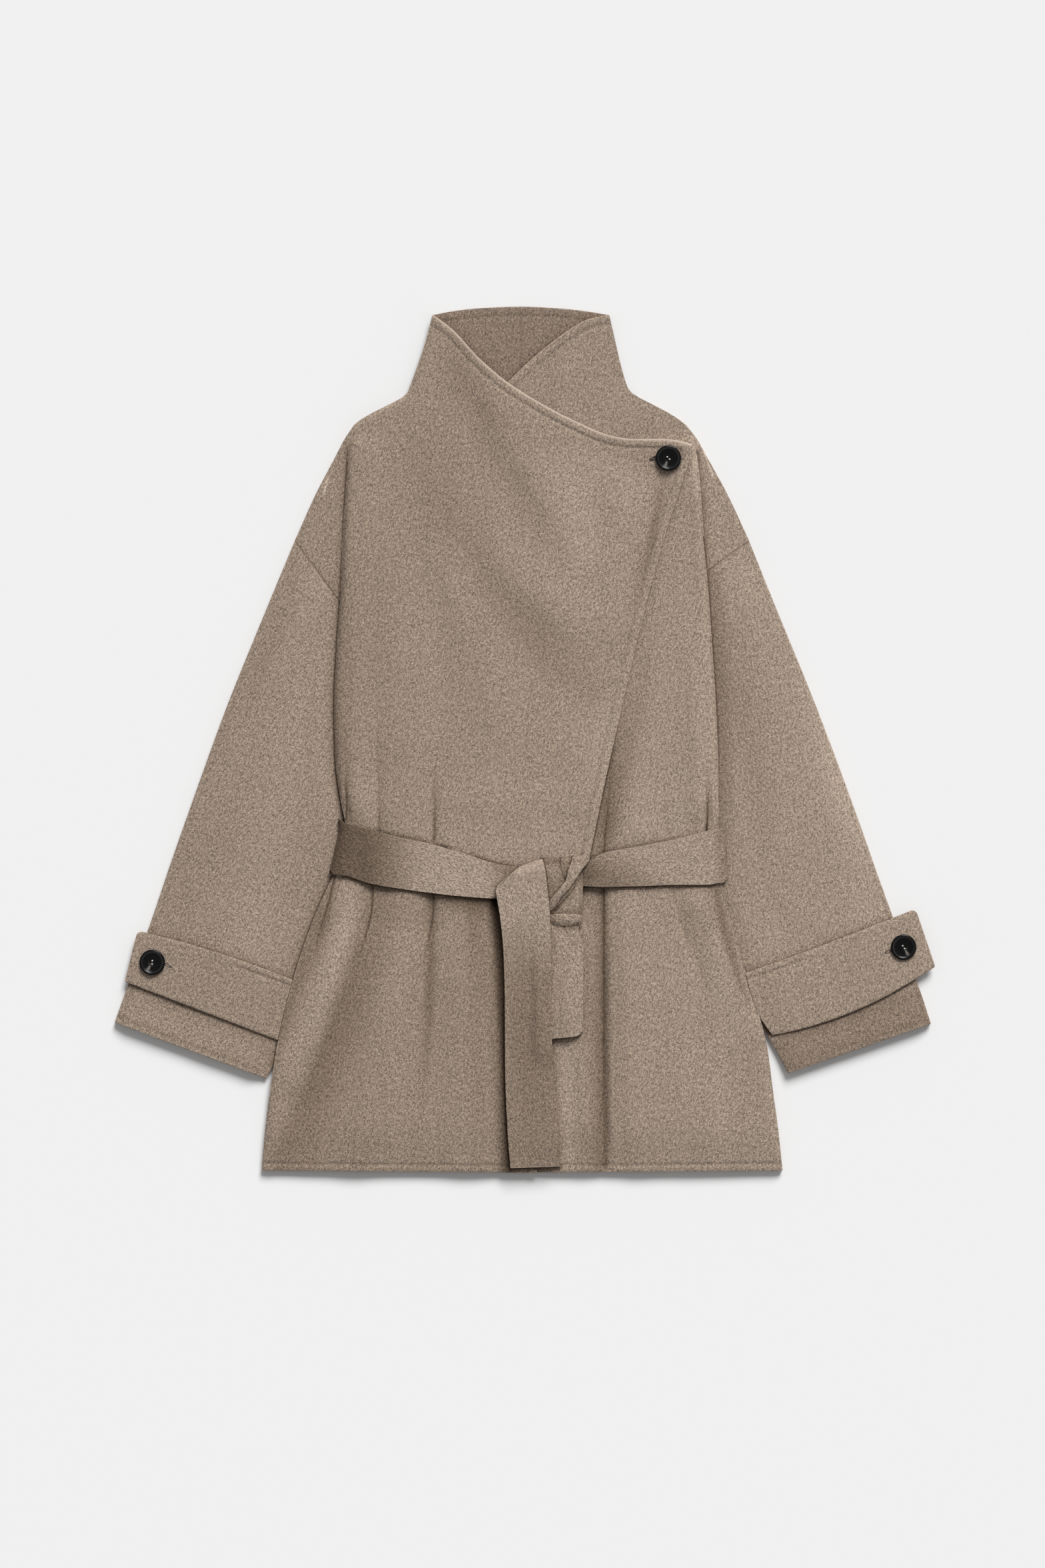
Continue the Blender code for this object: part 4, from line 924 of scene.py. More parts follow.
def side_lift(side, x, y, plateau, table):
    """How far a front stands above the back: rounded side, creases, the sleeve tucked under its edge."""
    inside = inside_of(side, x, y)
    settled = 1 - HEM_SETTLE * (1 - ease(y - HEM_LEVEL, 0.0, HEM_REACH))
    air = (plateau + SKIRT_AIR * ease(-y, *SKIRT_FROM)) * settled
    pleat = PLEAT_ROLL * rounded(inside, PLEAT_ROUND) * (1 - ease(inside, PLEAT_INNER, PLEAT_FADE[side]))
    pleat = pleat * ease(y, *PLEAT_LOW) * (1 - ease(y, *PLEAT_HIGH))
    pleat = pleat * (0.2 + 0.8 * ease(np.abs(y - BELT_MIDDLE), *PLEAT_BELT))
    above_belt = y - from_table(BELT_RUNS[side], 1, x)
    blouse = BLOUSE[side] * ease(above_belt, *BLOUSE_START) * (1 - ease(above_belt, *BLOUSE_END))
    blouse = blouse * ease(inside, *BLOUSE_SIDE) * (0.5 + 0.5 * ease(x, *BLOUSE_ACROSS))
    body = air * rounded(inside, ROLL) + pleat + blouse
    folded = creases(table, x, y) * (1 + SKIRT_DEEPER * ease(-y, *SKIRT_CREASES)) * settled
    body = body + (folded + unevenness(x, y)) * ease(inside, *CREASE_SIDE)
    sleeve = (CLOTH + SEAM) * on_sleeve(side, y) * (1 - ease(inside, *SLEEVE_UNDER))
    sleeve = sleeve * np.where(y > ARMPIT[side] + 0.0001, rounded(inside, SLEEVE_ROUND), 1.0)
    return np.maximum(np.maximum(body, sleeve), 0)


def under_low(x, y):
    """Lower face of the left front."""
    showing = ease(x - from_table(FRONT_EDGE, 1, y), *UNDER_SHOWS)
    return ground(x, y, 1) + CLOTH + SEAM + side_lift("left", x, y, stand_off(y) * showing, CREASES_LEFT)


def over_low(x, y):
    """Lower face of the right front, clear of the left front under it."""
    free = ground(x, y, 2) + CLOTH + SEAM + side_lift("right", x, y, stand_off(y), CREASES_RIGHT)
    covered = ease(x - underlap_edge(y), *UNDER_COVERED)
    on_under = (under_low(x, y) + CLOTH + LAYER_GAP) * covered
    return higher(free, on_under, LAYER_BLEND)


def front_top(x, y):
    """Upper face of whichever front lies on top."""
    over = over_low(x, y) + CLOTH
    under = under_low(x, y) + CLOTH
    return np.where(x < from_table(FRONT_EDGE, 1, y) + OVER_REACH, over, under)


def resting(x, y, reach):
    """Height at which a stiffer strip rests on the fronts, bridging folds narrower than its reach."""
    best = np.zeros(np.broadcast(x, y).shape)
    for dx in np.linspace(-reach, reach, 5):
        for dy in np.linspace(-reach, reach, 3):
            best = np.maximum(best, front_top(x + dx, y + dy))
    return best + SEAM


def runs(*stretches):
    """Places along a line as even stretches, each given by its start, its end and its count of steps."""
    parts = [np.linspace(start, end, count, endpoint=False) for start, end, count in stretches]
    return np.concatenate(parts + [[stretches[-1][1]]])


def outer_edge(side, inset=0.0):
    """Outer edge of a panel from hem to collar top: points, and how far each lies outside the pleat."""
    column = 1 if side == "right" else 2
    armpit = ARMPIT[side]
    low = runs(
        (HEM_LEVEL, HEM_LEVEL + 0.015, 12), (HEM_LEVEL + 0.015, -0.150, 51),
        (-0.150, -0.078, 44), (-0.078, armpit, 45),
    )[:-1]
    seam = runs((0, 0.2, 10), (0.2, 1, 9))[:-1]
    cap = np.linspace(SHOULDER_CAP[0][0], SHOULDER_POINT, 26, endpoint=False)
    collar = runs((SHOULDER_POINT, NECK_POINT, 11), (NECK_POINT, 0.389, 13), (0.389, COLLAR_TOP, 17))
    arm_x = side_x(side, armpit) + SIGN[side] * inset
    tucked = ease(low, SLEEVE_EXIT[side] - 0.030, SLEEVE_EXIT[side])
    x = np.concatenate((
        side_x(side, low) + SIGN[side] * inset * tucked,
        between(arm_x, SHOULDER_CAP[0][column], seam),
        from_table(SHOULDER_CAP, column, cap),
        side_x(side, collar),
    ))
    y = np.concatenate((low, between(armpit, SHOULDER_CAP[0][0], seam), cap, collar))
    outside = np.maximum(-inside_of(side, x, y), 0)
    return x, y, outside


def front_plan(side):
    """Plan points of a front as a grid of rows from its outer edge to its front edge."""
    x0, y0, outside = outer_edge(side)
    y1 = from_table(ROW_MATCH, 1, y0)
    curve_share = from_table(ROW_MATCH, 2, y0)
    x1 = from_table(FRONT_EDGE, 1, y1) if side == "right" else underlap_edge(y1)
    top = np.array(TOP_EDGE[side])
    width = np.abs(x1 - x0)[:, None]
    near = np.linspace(0, 1, 9)[None, :]
    pleated = ease(outside, 0.0, 0.004)[:, None]
    spare = 0.3 * ROLL * (1 - pleated)
    crowded = near + (1 - (1 - near) ** 1.8 - near) * pleated
    to_pleat = crowded * (outside[:, None] + spare)
    past = outside[:, None] + spare + near[:, 1:] * (ROLL - spare)
    first = np.concatenate((to_pleat, past), axis=1) / width
    finish = 1 - runs((0.0145, 0.0015, 13), (0.0015, 0, 1))[None, :] / width
    middle = np.linspace(0, 1, 136)[None, 1:-1]
    share = np.concatenate((first, between(first[:, -1:], finish[:, :1], middle), finish), axis=1)
    x = between(x0[:, None], x1[:, None], share)
    top_x = between(top[0, 0], top[-1, 0], share)
    sag = smooth_through(top[:, 0], top[:, 1], top_x) - between(top[0, 1], top[-1, 1], share)
    y = between(y0[:, None], y1[:, None], share) + curve_share[:, None] * sag
    return x, y


def far_from(x, y, *lines):
    """Distance of a grid's points from the nearest of some lines of points."""
    best = np.full(x.shape, np.inf)
    for line_x, line_y in lines:
        signed, _ = nearest_on(np.stack((line_x, line_y), axis=-1), x, y)
        best = np.minimum(best, np.abs(signed))
    return best


def gap_to(outline, x, y):
    """Distance of points outside a closed outline, negative inside it."""
    path = np.stack(outline, axis=-1)
    path = np.concatenate((path, path[:1]))
    signed, _ = nearest_on(path, x, y)
    inside = np.zeros(x.shape, bool)
    for (ax, ay), (bx, by) in zip(path[:-1], path[1:]):
        if ay != by:
            inside ^= ((ay > y) != (by > y)) & (x < ax + (y - ay) * (bx - ax) / (by - ay))
    return np.where(inside, -np.abs(signed), np.abs(signed))


def strip_outline(table):
    """Closed outline of a strip given by its left and its right edge."""
    columns = columns_of(table, 25)
    second = 3 if len(columns) > 5 else 2
    left_x, left_y = columns[:2]
    right_x, right_y = columns[second:second + 2]
    return np.concatenate((left_x, right_x[::-1])), np.concatenate((left_y, right_y[::-1]))


def run_outline(side):
    """Closed outline of a front run of the belt."""
    across, upper, lower = columns_of(BELT_RUNS[side], 17)
    return np.concatenate((across, across[::-1])), np.concatenate((upper, lower[::-1]))


def front_outline(side):
    """Closed outline of a front: its front edge, its top edge and its outer edge."""
    x, y = front_plan(side)
    return tuple(np.concatenate((p[::4, -1], p[-1, ::-4], p[::-4, 0])) for p in (x, y))


def nearest_gap(outlines, x, y, lit_side=LIT_SIDE):
    """Least distance of points from any outline, negative inside one, more where it faces the light."""
    step = 0.0005
    back_x = x - step * LIGHT_PLAN[0]
    back_y = y - step * LIGHT_PLAN[1]
    here = np.minimum.reduce([gap_to(outline, x, y) for outline in outlines])
    behind = np.minimum.reduce([gap_to(outline, back_x, back_y) for outline in outlines])
    return here + lit_side * ease((here - behind) / step, *LIGHT_TURN)


def narrow_troughs(table, x, y):
    """0 to 1 inside the sharp creases of a table, where the cloth closes on itself."""
    sharp = [row for row in table if min(row[6:8]) < SHARP_CREASE and row[9] < 0]
    rows = [(*row[:6], 0.5 * row[6], 0.5 * row[7], *row[8:]) for row in sharp]
    return np.clip(-creases(rows, x, y) / TROUGH_DEPTH, 0, 1)


def stitched(edge, sizes, inset):
    """Rim of a sewn edge: a slight puff, then the sunk line of the stitches."""
    puff = RIM_PUFF * sizes.stitch_depth * bell(edge - RIM_PUFF_PLACE * inset, RIM_PUFF_WIDTH * inset)
    return puff - sizes.stitch_depth * bell(edge - inset, SEWN_WIDTH)


def upright(x, y, low, thickness, relief=0.0):
    """Lower and upper face of a laid panel, the relief only on the upper one."""
    return np.stack((x, y, low), axis=-1), np.stack((x, y, low + thickness + relief), axis=-1)


def both_sides(middle, thickness):
    """Lower and upper face of a strip that turns over, half a thickness to each side of its middle."""
    along = np.gradient(middle, axis=0)
    across = np.gradient(middle, axis=1)
    normal = np.cross(across, along)
    normal = normal / np.linalg.norm(normal, axis=-1, keepdims=True)
    return middle - normal * thickness / 2, middle + normal * thickness / 2


def cut_of(points):
    """Flat width, length and area of a grid of cloth, measured along its rows and columns."""
    across = np.linalg.norm(np.diff(points, axis=1), axis=-1)
    along = np.linalg.norm(np.diff(points, axis=0), axis=-1)
    a = points[1:, 1:] - points[:-1, :-1]
    b = points[1:, :-1] - points[:-1, 1:]
    area = 0.5 * np.linalg.norm(np.cross(a, b), axis=-1).sum()
    width = across.sum(axis=1).max()
    length = max(along.sum(axis=0).max(), area / width)
    return width, length, area


class Field:
    """A number, vector or colour in a material's nodes, with its arithmetic written as operators."""

    def __init__(self, tree, socket):
        self.tree = tree
        self.socket = socket

    def node(self, kind, inputs, output=0, **settings):
        """Add a node, fill its inputs by name or place, and give back one of its outputs."""
        made = self.tree.nodes.new(kind)
        for name, value in settings.items():
            setattr(made, name, value)
        for name, value in inputs.items():
            if isinstance(value, Field):
                self.tree.links.new(value.socket, made.inputs[name])
            else:
                made.inputs[name].default_value = value
        return Field(self.tree, made.outputs[output])

    def mark(self, name):
        """What a mesh's points carry under a name."""
        return self.node("ShaderNodeAttribute", {}, output="Fac", attribute_name=name)

    def into(self, shader, name):
        """Link this value to an input of a shader."""
        self.tree.links.new(self.socket, shader.inputs[name])

    def math(self, operation, *others):
        """A Math node with this value first."""
        return self.node("ShaderNodeMath", dict(enumerate((self, *others))), operation=operation)

    def __add__(self, other):
        return self.math("ADD", other)

    def __sub__(self, other):
        return self.math("SUBTRACT", other)

    def __mul__(self, other):
        return self.math("MULTIPLY", other)

    def __truediv__(self, other):
        return self.math("DIVIDE", other)

    def __rsub__(self, other):
        return (self * -1.0).math("ADD", other)

    __radd__ = __add__

    def within(self):
        """This value held between 0 and 1."""
        return self.node("ShaderNodeClamp", {"Value": self})

    def bump_at(self, place, width):
        """1 where this value is at a place, falling to 0 a width away."""
        return (1.0 - ((self - place) / width).math("ABSOLUTE")).within()

    def falling(self, width):
        """1 where this value is 0, falling smoothly away over a width."""
        share = self / width
        return (share * share * -1.0).math("EXPONENT")

    def turned(self, angle):
        """This vector turned about Z, so that no two noises share their grid."""
        return self.node("ShaderNodeVectorRotate", {"Vector": self, "Angle": angle}, rotation_type="Z_AXIS")

    def stretched(self, across, along):
        """This vector measured in units of a width and a length."""
        return self.node(
            "ShaderNodeVectorMath", {0: self, 1: (1 / across, 1 / along, 1.0)}, operation="MULTIPLY"
        )

    def noise(self, detail, roughness=0.55):
        """Noise at this vector, about one feature to each unit."""
        inputs = {"Vector": self, "Scale": 1.0, "Detail": detail, "Roughness": roughness}
        return self.node("ShaderNodeTexNoise", inputs, noise_dimensions="2D")

    def mix(self, first, second):
        """Colour between two others at this factor."""
        inputs = {"Factor": self, 6: first, 7: second}
        return self.node("ShaderNodeMix", inputs, output=2, data_type="RGBA")


def new_material(name):
    """An empty Principled material, its shader node and a starting point for its fields."""
    made = bpy.data.materials.new(name)
    made.use_nodes = True
    shader = made.node_tree.nodes["Principled BSDF"]
    return made, shader, Field(made.node_tree, None)


def wool_material(name, colour, looks):
    """Brushed melange wool: streaks of light and dark fibre along the pile, a painted highlight along cut
    edges, painted shade in the sunk stitches.
    """
    made, shader, start = new_material(name)
    grain = start.node("ShaderNodeUVMap", {}, uv_map="grain")
    edge, groove, nap, gap, fold, depth = [start.mark(key) for key in MARKS]
    noises = {}
    for key, (turn, width, length, detail, _) in WOOL_NOISES.items():
        place = grain.turned(turn).stretched(width * looks.streak_width, length * looks.streak_length)
        noises[key] = place.noise(detail, NOISE_ROUGHNESS)
    mixed = sum((noises[key] - 0.5) * row[-1] for key, row in WOOL_NOISES.items())
    mottle = grain.turned(MOTTLE_TURN).stretched(*MOTTLE_SIZE).noise(2.0, MOTTLE_ROUGHNESS)
    uneven = mixed * looks.contrast + 0.5 + (mottle - 0.5) * MOTTLE_SHARE
    dark = tuple(c * DARK_FIBRE for c in colour) + (1.0,)
    light = tuple(min(1.0, c * LIGHT_FIBRE) for c in colour) + (1.0,)
    body = uneven.within().math("POWER", FIBRE_CURVE).mix(dark, light)
    # Painted highlight along the cut edges
    edge_highlight = (*(c * lift for c, lift in zip(colour, EDGE_HIGHLIGHT_LIFT)), 1.0)
    pale = edge.bump_at(0.0, EDGE_HIGHLIGHT_WIDTH).mix(body, edge_highlight)
    # Painted shade in the sunk stitch lines
    sunk = (groove * SEWN_SHADE).mix(pale, dark)
    # Painted shade under the edges of pieces lying on this one, along closed crease lines, and the painted
    # light and shade the points carry
    clear = gap.math("MAXIMUM", 0.0)
    under = sum(clear.falling(reach) * share for reach, share in CONTACT)
    lie = nap * (1.0 - under) * (1.0 - fold.falling(FOLD_WIDTH) * depth)
    green = lie.math("POWER", SHADE_GREEN)
    blue = lie.math("POWER", SHADE_BLUE)
    shade = start.node("ShaderNodeCombineColor", {"Red": lie, "Green": green, "Blue": blue})
    tinted = start.node("ShaderNodeVectorMath", {0: sunk, 1: shade}, operation="MULTIPLY")
    tinted.into(shader, "Base Color")
    pile = noises["streak"] * 0.5 + noises["fibre"] * 0.5
    bump = start.node("ShaderNodeBump", {"Strength": PILE_BUMP, "Distance": PILE_DEPTH, "Height": pile})
    bump.into(shader, "Normal")
    for key, value in WOOL_SHADER.items():
        shader.inputs[key].default_value = value
    shader.inputs["Sheen Tint"].default_value = tuple(min(1.0, c * SHEEN_LIFT) for c in colour) + (1.0,)
    return made


def button_material(name, colour, glint):
    """Black turned horn: a plain colour with a pale glint where the points are marked for it."""
    made = plain_material(name, colour, roughness=0.24, coat=0.05, specular=0.14)
    marked = Field(made.node_tree, None).mark("glint")
    mixed = marked.within().mix((*colour, 1.0), (*glint, 1.0))
    mixed.into(made.node_tree.nodes["Principled BSDF"], "Base Color")
    return made


def plain_material(name, colour, roughness, coat=0.0, specular=0.5):
    """A single colour with a little unevenness in its gloss."""
    made, shader, start = new_material(name)
    place = start.node("ShaderNodeTexCoord", {}, output="Object")
    uneven = place.stretched(GLOSS_SIZE, GLOSS_SIZE).noise(2.0)
    gloss = uneven * (GLOSS_SPREAD * roughness) + GLOSS_LEAST * roughness
    gloss.into(shader, "Roughness")
    shader.inputs["Base Color"].default_value = (*colour, 1.0)
    shader.inputs["Specular IOR Level"].default_value = specular
    shader.inputs["Coat Weight"].default_value = coat
    shader.inputs["Coat Roughness"].default_value = 0.06
    return made


def material_for(slot, context):
    """The material of a slot, made on first use from the colours in the panel."""
    looks = context.scene.coat_looks
    name = "coat_" + slot
    found = bpy.data.materials.get(name)
    if found:
        return found
    if slot == "button_black":
        return button_material(name, looks.button, looks.glint)
    if slot in PLAIN_ROUGHNESS:
        return plain_material(name, getattr(looks, slot), PLAIN_ROUGHNESS[slot])
    return wool_material(name, getattr(looks, slot), looks)


def shell(name, faces, grain, slot, context, **marks):
    """A closed cloth shell between a lower and an upper grid, its rim rounded, with its grain and edges."""
    low, high = faces
    rows, columns = low.shape[:2]
    count = rows * columns
    index = np.arange(count).reshape(rows, columns)
    quads = np.stack((index[:-1, :-1], index[:-1, 1:], index[1:, 1:], index[1:, :-1]), -1).reshape(-1, 4)
    ring = np.concatenate((index[0, :-1], index[:-1, -1], index[-1, :0:-1], index[:0:-1, 0]))
    onward = np.roll(ring, -1)
    rim = np.stack((ring, onward, onward + count, ring + count), -1)
    polygons = np.concatenate((quads[:, ::-1], quads + count, rim))
    points = np.concatenate((low.reshape(-1, 3), high.reshape(-1, 3)))
    data = bpy.data.meshes.new(name)
    data.from_pydata(points.tolist(), [], polygons.tolist())
    corner = np.empty(len(data.loops), int)
    data.loops.foreach_get("vertex_index", corner)
    outward = np.zeros_like(grain)
    outward[0] += grain[0] - grain[1]
    outward[-1] += grain[-1] - grain[-2]
    outward[:, 0] += grain[:, 0] - grain[:, 1]
    outward[:, -1] += grain[:, -1] - grain[:, -2]
    outward = outward / np.maximum(np.linalg.norm(outward, axis=-1, keepdims=True), 1e-9)
    turned_under = grain + outward * np.linalg.norm(high - low, axis=-1, keepdims=True)
    layer = data.uv_layers.new(name="grain")
    both = np.concatenate((turned_under.reshape(-1, 2), grain.reshape(-1, 2)))
    layer.data.foreach_set("uv", both[corner].ravel())
    on_rim = np.zeros(2 * count, bool)
    on_rim[ring] = True
    on_rim[ring + count] = True
    for key, plain in MARKS.items():
        value = np.broadcast_to(marks.get(key, plain), (rows, columns)).ravel()
        data.attributes.new(key, "FLOAT", "POINT").data.foreach_set("value", np.tile(value, 2))
    ends = np.empty(2 * len(data.edges), int)
    data.edges.foreach_get("vertices", ends)
    ends = ends.reshape(-1, 2)
    same_face = (ends[:, 0] < count) == (ends[:, 1] < count)
    weight = (on_rim[ends].all(axis=1) & same_face).astype(float)
    data.attributes.new("bevel_weight_edge", "FLOAT", "EDGE").data.foreach_set("value", weight)
    mesh = bmesh.new()
    mesh.from_mesh(data)
    bmesh.ops.recalc_face_normals(mesh, faces=mesh.faces[:])
    mesh.to_mesh(data)
    mesh.free()
    made = bpy.data.objects.new(name, data)
    context.scene.collection.objects.link(made)
    data.materials.append(material_for(slot, context))
    turned = made.modifiers.new("turned edge", "BEVEL")
    turned.width = context.scene.coat_sizes.edge_round
    turned.segments = 3
    turned.limit_method = "WEIGHT"
    apply_modifiers(made)
    made.data.polygons.foreach_set("use_smooth", np.ones(len(made.data.polygons), bool))
    return made


def only(made):
    """Make one object the only selected and active one."""
    bpy.ops.object.select_all(action="DESELECT")
    bpy.context.view_layer.objects.active = made
    made.select_set(True)


def apply_modifiers(made):
    """Apply every modifier of an object in order."""
    only(made)
    for name in [modifier.name for modifier in made.modifiers]:
        bpy.ops.object.modifier_apply(modifier=name)


def hand_in(made, slot, *nodes):
    """Tie a finished piece to the frame."""
    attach(made, "root")
    if nodes:
        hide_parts(*nodes)
    return made


def cloth(node, faces, grain, slot, context, rests_on, with_pieces=(), **marks):
    """A cloth shell that stands for one node; its flat cut is measured but not used."""
    made = hand_in(shell(node + "_cloth", faces, grain, slot, context, **marks), slot, node)
    width, length, area = cut_of(0.5 * (faces[0] + faces[1]))


def painted_shading_across(x, y):
    """Painted light and shade across the coat: lighter on the wearer's left, darker on the skirt and the left
    collar.
    """
    across = 0.055 * np.tanh(x / 0.09)
    skirt = 0.05 * bell(x + 0.06, 0.09) + 0.045 * ease(x, -0.10, -0.02)
    collar = 0.05 * ease(x, -0.01, 0.03) * ease(y, 0.31, 0.36)
    return 1 + across - skirt * ease(-y, 0.18, 0.26) - collar


def wavy(x, y):
    """Grain along the height of the coat, drifting a little as brushed pile does."""
    drift = 0.0016 * np.sin(17 * y + 5 * x) + 0.0010 * np.sin(41 * y - 13 * x)
    return np.stack((x + drift, y + 0.0012 * np.sin(29 * x)), axis=-1)


def turned_grain(x, y, angle):
    """Grain along a direction turned from the height of the coat."""
    return wavy(x * np.cos(angle) + y * np.sin(angle), y * np.cos(angle) - x * np.sin(angle))


class CoatSizes(bpy.types.PropertyGroup):
    """Sizes of the cloth and its sewing."""

    cloth: FloatProperty(
        name="Cloth", description="Thickness of the double-faced wool", default=CLOTH,
        unit="LENGTH", precision=4,
    )
    belt_cloth: FloatProperty(
        name="Belt cloth", description="Thickness of the tie belt", default=BELT_CLOTH,
        unit="LENGTH", precision=4,
    )
    edge_round: FloatProperty(
        name="Edge round", description="Radius of a turned edge", default=0.0010, unit="LENGTH", precision=4,
    )
    stitch_inset: FloatProperty(
        name="Stitch inset", description="Distance of the sewn line from an edge", default=0.0088,
        unit="LENGTH", precision=4,
    )
    hem_inset: FloatProperty(
        name="Hem stitch inset", description="Distance of the sewn line from the hem", default=0.0066,
        unit="LENGTH", precision=4,
    )
    tab_inset: FloatProperty(
        name="Tab stitch inset", description="Distance of the sewn line from a tab's edge", default=0.0066,
        unit="LENGTH", precision=4,
    )
    stitch_depth: FloatProperty(
        name="Stitch depth", description="How far a sewn line sinks into the cloth", default=0.0008,
        unit="LENGTH", precision=4,
    )


class CoatLooks(bpy.types.PropertyGroup):
    """Colours and the grain of the wool."""

    wool: FloatVectorProperty(
        name="Wool", description="Mean colour of the outside", subtype="COLOR", default=(0.335, 0.262, 0.204),
    )
    # Darker than the outside wool: painted shade inside the collar
    wool_inside: FloatVectorProperty(
        name="Wool inside", description="Mean colour of the inside", subtype="COLOR",
        default=(0.256, 0.194, 0.150),
    )
    button: FloatVectorProperty(
        name="Button", description="Colour of the buttons", subtype="COLOR", default=(0.004, 0.004, 0.0045),
    )
    glint: FloatVectorProperty(
        name="Glint", description="Colour of the glint on a button", subtype="COLOR",
        default=(0.22, 0.20, 0.18),
    )
    thread: FloatVectorProperty(
        name="Thread", description="Colour of the sewing thread", subtype="COLOR", default=(0.62, 0.58, 0.53),
    )
    buttonhole: FloatVectorProperty(
        name="Buttonhole", description="Colour of the buttonhole thread", subtype="COLOR",
        default=(0.075, 0.055, 0.042),
    )
    floor: FloatVectorProperty(
        name="Floor", description="Colour of the floor", subtype="COLOR", default=(0.90, 0.90, 0.90),
    )
    streak_width: FloatProperty(
        name="Streak width", description="Width of a streak of fibre", default=0.0015,
        unit="LENGTH", precision=4,
    )
    streak_length: FloatProperty(
        name="Streak length", description="Length of a streak of fibre", default=0.0024,
        unit="LENGTH", precision=4,
    )
    contrast: FloatProperty(
        name="Contrast", description="How strongly light and dark fibres differ", default=2.75,
        subtype="FACTOR",
    )


class COAT_OT_back(bpy.types.Operator):
    """Lay the back on the floor and, beyond its neck, the two halves of the back collar"""

    bl_idname = "coat.back"
    bl_label = "Back and back collar"

    def execute(self, context):
        sizes = context.scene.coat_sizes
        right_x, right_y, _ = outer_edge("right", BACK_INSET)
        left_x, left_y, _ = outer_edge("left", BACK_INSET)
        below = right_y < NECK_POINT - 0.001
        right_x = np.append(right_x[below], side_x("right", NECK_POINT))
        left_x = np.append(left_x[below], side_x("left", NECK_POINT))
        right_y = np.append(right_y[below], NECK_POINT)
        left_y = np.append(left_y[below], NECK_POINT)
        share = np.linspace(0, 1, 65)[None, :]
        x = between(right_x[:, None], left_x[:, None], share)
        y = between(right_y[:, None], left_y[:, None], share)
        y = y - NECK_DIP * ease(y, NECK_FROM, NECK_POINT) * 4 * share * (1 - share)
        low = ground(x, y, 0)
        edge = far_from(x, y, (x[0], y[0]))
        cloth(
            "back", upright(x, y, low, sizes.cloth), wavy(x, y), "wool", context, "floor",
            groove=bell(edge - sizes.stitch_inset, SEWN_WIDTH),
        )
        level = {"right": 0.0, "left": 0.0001}
        fronts = [front_outline(side) for side in ("right", "left")]
        for side in ("right", "left"):
            share = np.linspace(0, 1, 45)[None, :]
            rise = runs((0, 0.84, 24), (0.84, 1, 12))
            edge_y = NECK_POINT + SEAM + rise * (COLLAR_TOP - NECK_POINT - SEAM)
            centre = CENTRE_BACK + SIGN[side] * SEAM_LAP
            x = between(side_x(side, edge_y)[:, None], centre, share)
            across = share * 0.5
            base = NECK_POINT + SEAM - NECK_DIP * 4 * across * (1 - across)
            y = between(base, from_table(COLLAR_ARCH, 1, x), rise[:, None])
            edge = far_from(x, y, (x[-1], y[-1]))
            relief = 0.6 * stitched(edge, sizes, sizes.stitch_inset)
            faces = upright(x, y, np.full_like(x, level[side]), sizes.cloth, relief)
            # The back collar takes the darker inside wool, painted shade inside the neck
            cloth(
                "collar_back_" + side, faces, wavy(x, y), "wool_inside", context, "floor",
                groove=0.6 * bell(edge - sizes.stitch_inset, SEWN_WIDTH), gap=nearest_gap(fronts, x, y),
                fold=np.abs(x - CENTRE_BACK), fold_depth=CENTRE_SEAM_SHADE,
            )
        return {"FINISHED"}


class COAT_OT_fronts(bpy.types.Operator):
    """Lay the left front and the right front over it, each cut in one with its half of the collar"""

    bl_idname = "coat.fronts"
    bl_label = "Fronts"

    def execute(self, context):
        sizes = context.scene.coat_sizes
        below = {"left": "back_cloth", "right": "front_left_cloth"}
        tables = {"left": CREASES_LEFT, "right": CREASES_RIGHT}
        tails = [strip_outline(table) for table in (LONG_TAIL, SHORT_TAIL)]
        belt = tails + [run_outline(side) for side in ("right", "left")]
        for side, lower_face in (("left", under_low), ("right", over_low)):
            x, y = front_plan(side)
            low = lower_face(x, y)
            top_edge = far_from(x, y, (x[-1], y[-1]))
            sewn = np.minimum(top_edge, far_from(x, y, (x[:, -1], y[:, -1])))
            hem = far_from(x, y, (x[0], y[0]))
            inset = sizes.stitch_inset
            hem_inset = sizes.hem_inset
            relief = stitched(sewn, sizes, inset) + stitched(hem, sizes, hem_inset)
            inside = inside_of(side, x, y)
            beyond = NO_CONTACT * (ease(ARMPIT[side] - y, -0.0015, 0.0) + ease(y, 0.282, 0.298))
            gap = np.minimum(nearest_gap(belt, x, y), np.where(inside > 1e-6, 1.0, beyond - inside))
            if side == "left":
                faint = FAINT_CHEST * ease(y, -0.02, 0.06) + FAINT_HEM * ease(-y, 0.395, 0.410)
                gap = np.minimum(gap, gap_to(front_outline("right"), x, y) + faint)
                flush = ease(-y, *FLUSH_FROM) * (1 - ease(-y, *FLUSH_TO))
                relief = relief - FLUSH_DEPTH * flush * (1 - ease(inside, *FLUSH_SIDE))
            # Painted shade in the sharp troughs, painted streaks of light and shade, painted shade along the
            # hem and along closed crease lines
            nap = painted_shading_across(x, y) * (1 - TROUGH_SHADE * narrow_troughs(tables[side], x, y))
            nap = nap * (1 + creases(PAINTED_SHADING_STREAKS[side], x, y))
            nap = nap * (1 - HEM_SHADE * (1 - ease(hem, *HEM_FOLD)))
            fold, depth = crease_line_shade(PAINTED_CREASE_LINES[side], x, y)
            groove = np.maximum(bell(sewn - inset, SEWN_WIDTH), bell(hem - hem_inset, SEWN_WIDTH))
            # The painted edge highlight runs along the top edge, pushed back from the left front's edge
            cloth(
                "front_" + side, upright(x, y, low, sizes.cloth, relief), wavy(x, y), "wool", context,
                below[side], edge=top_edge + LEFT_HIGHLIGHT_SHIFT * (side == "left"), groove=groove, nap=nap,
                gap=gap, fold=fold, fold_depth=depth,
            )
        return {"FINISHED"}


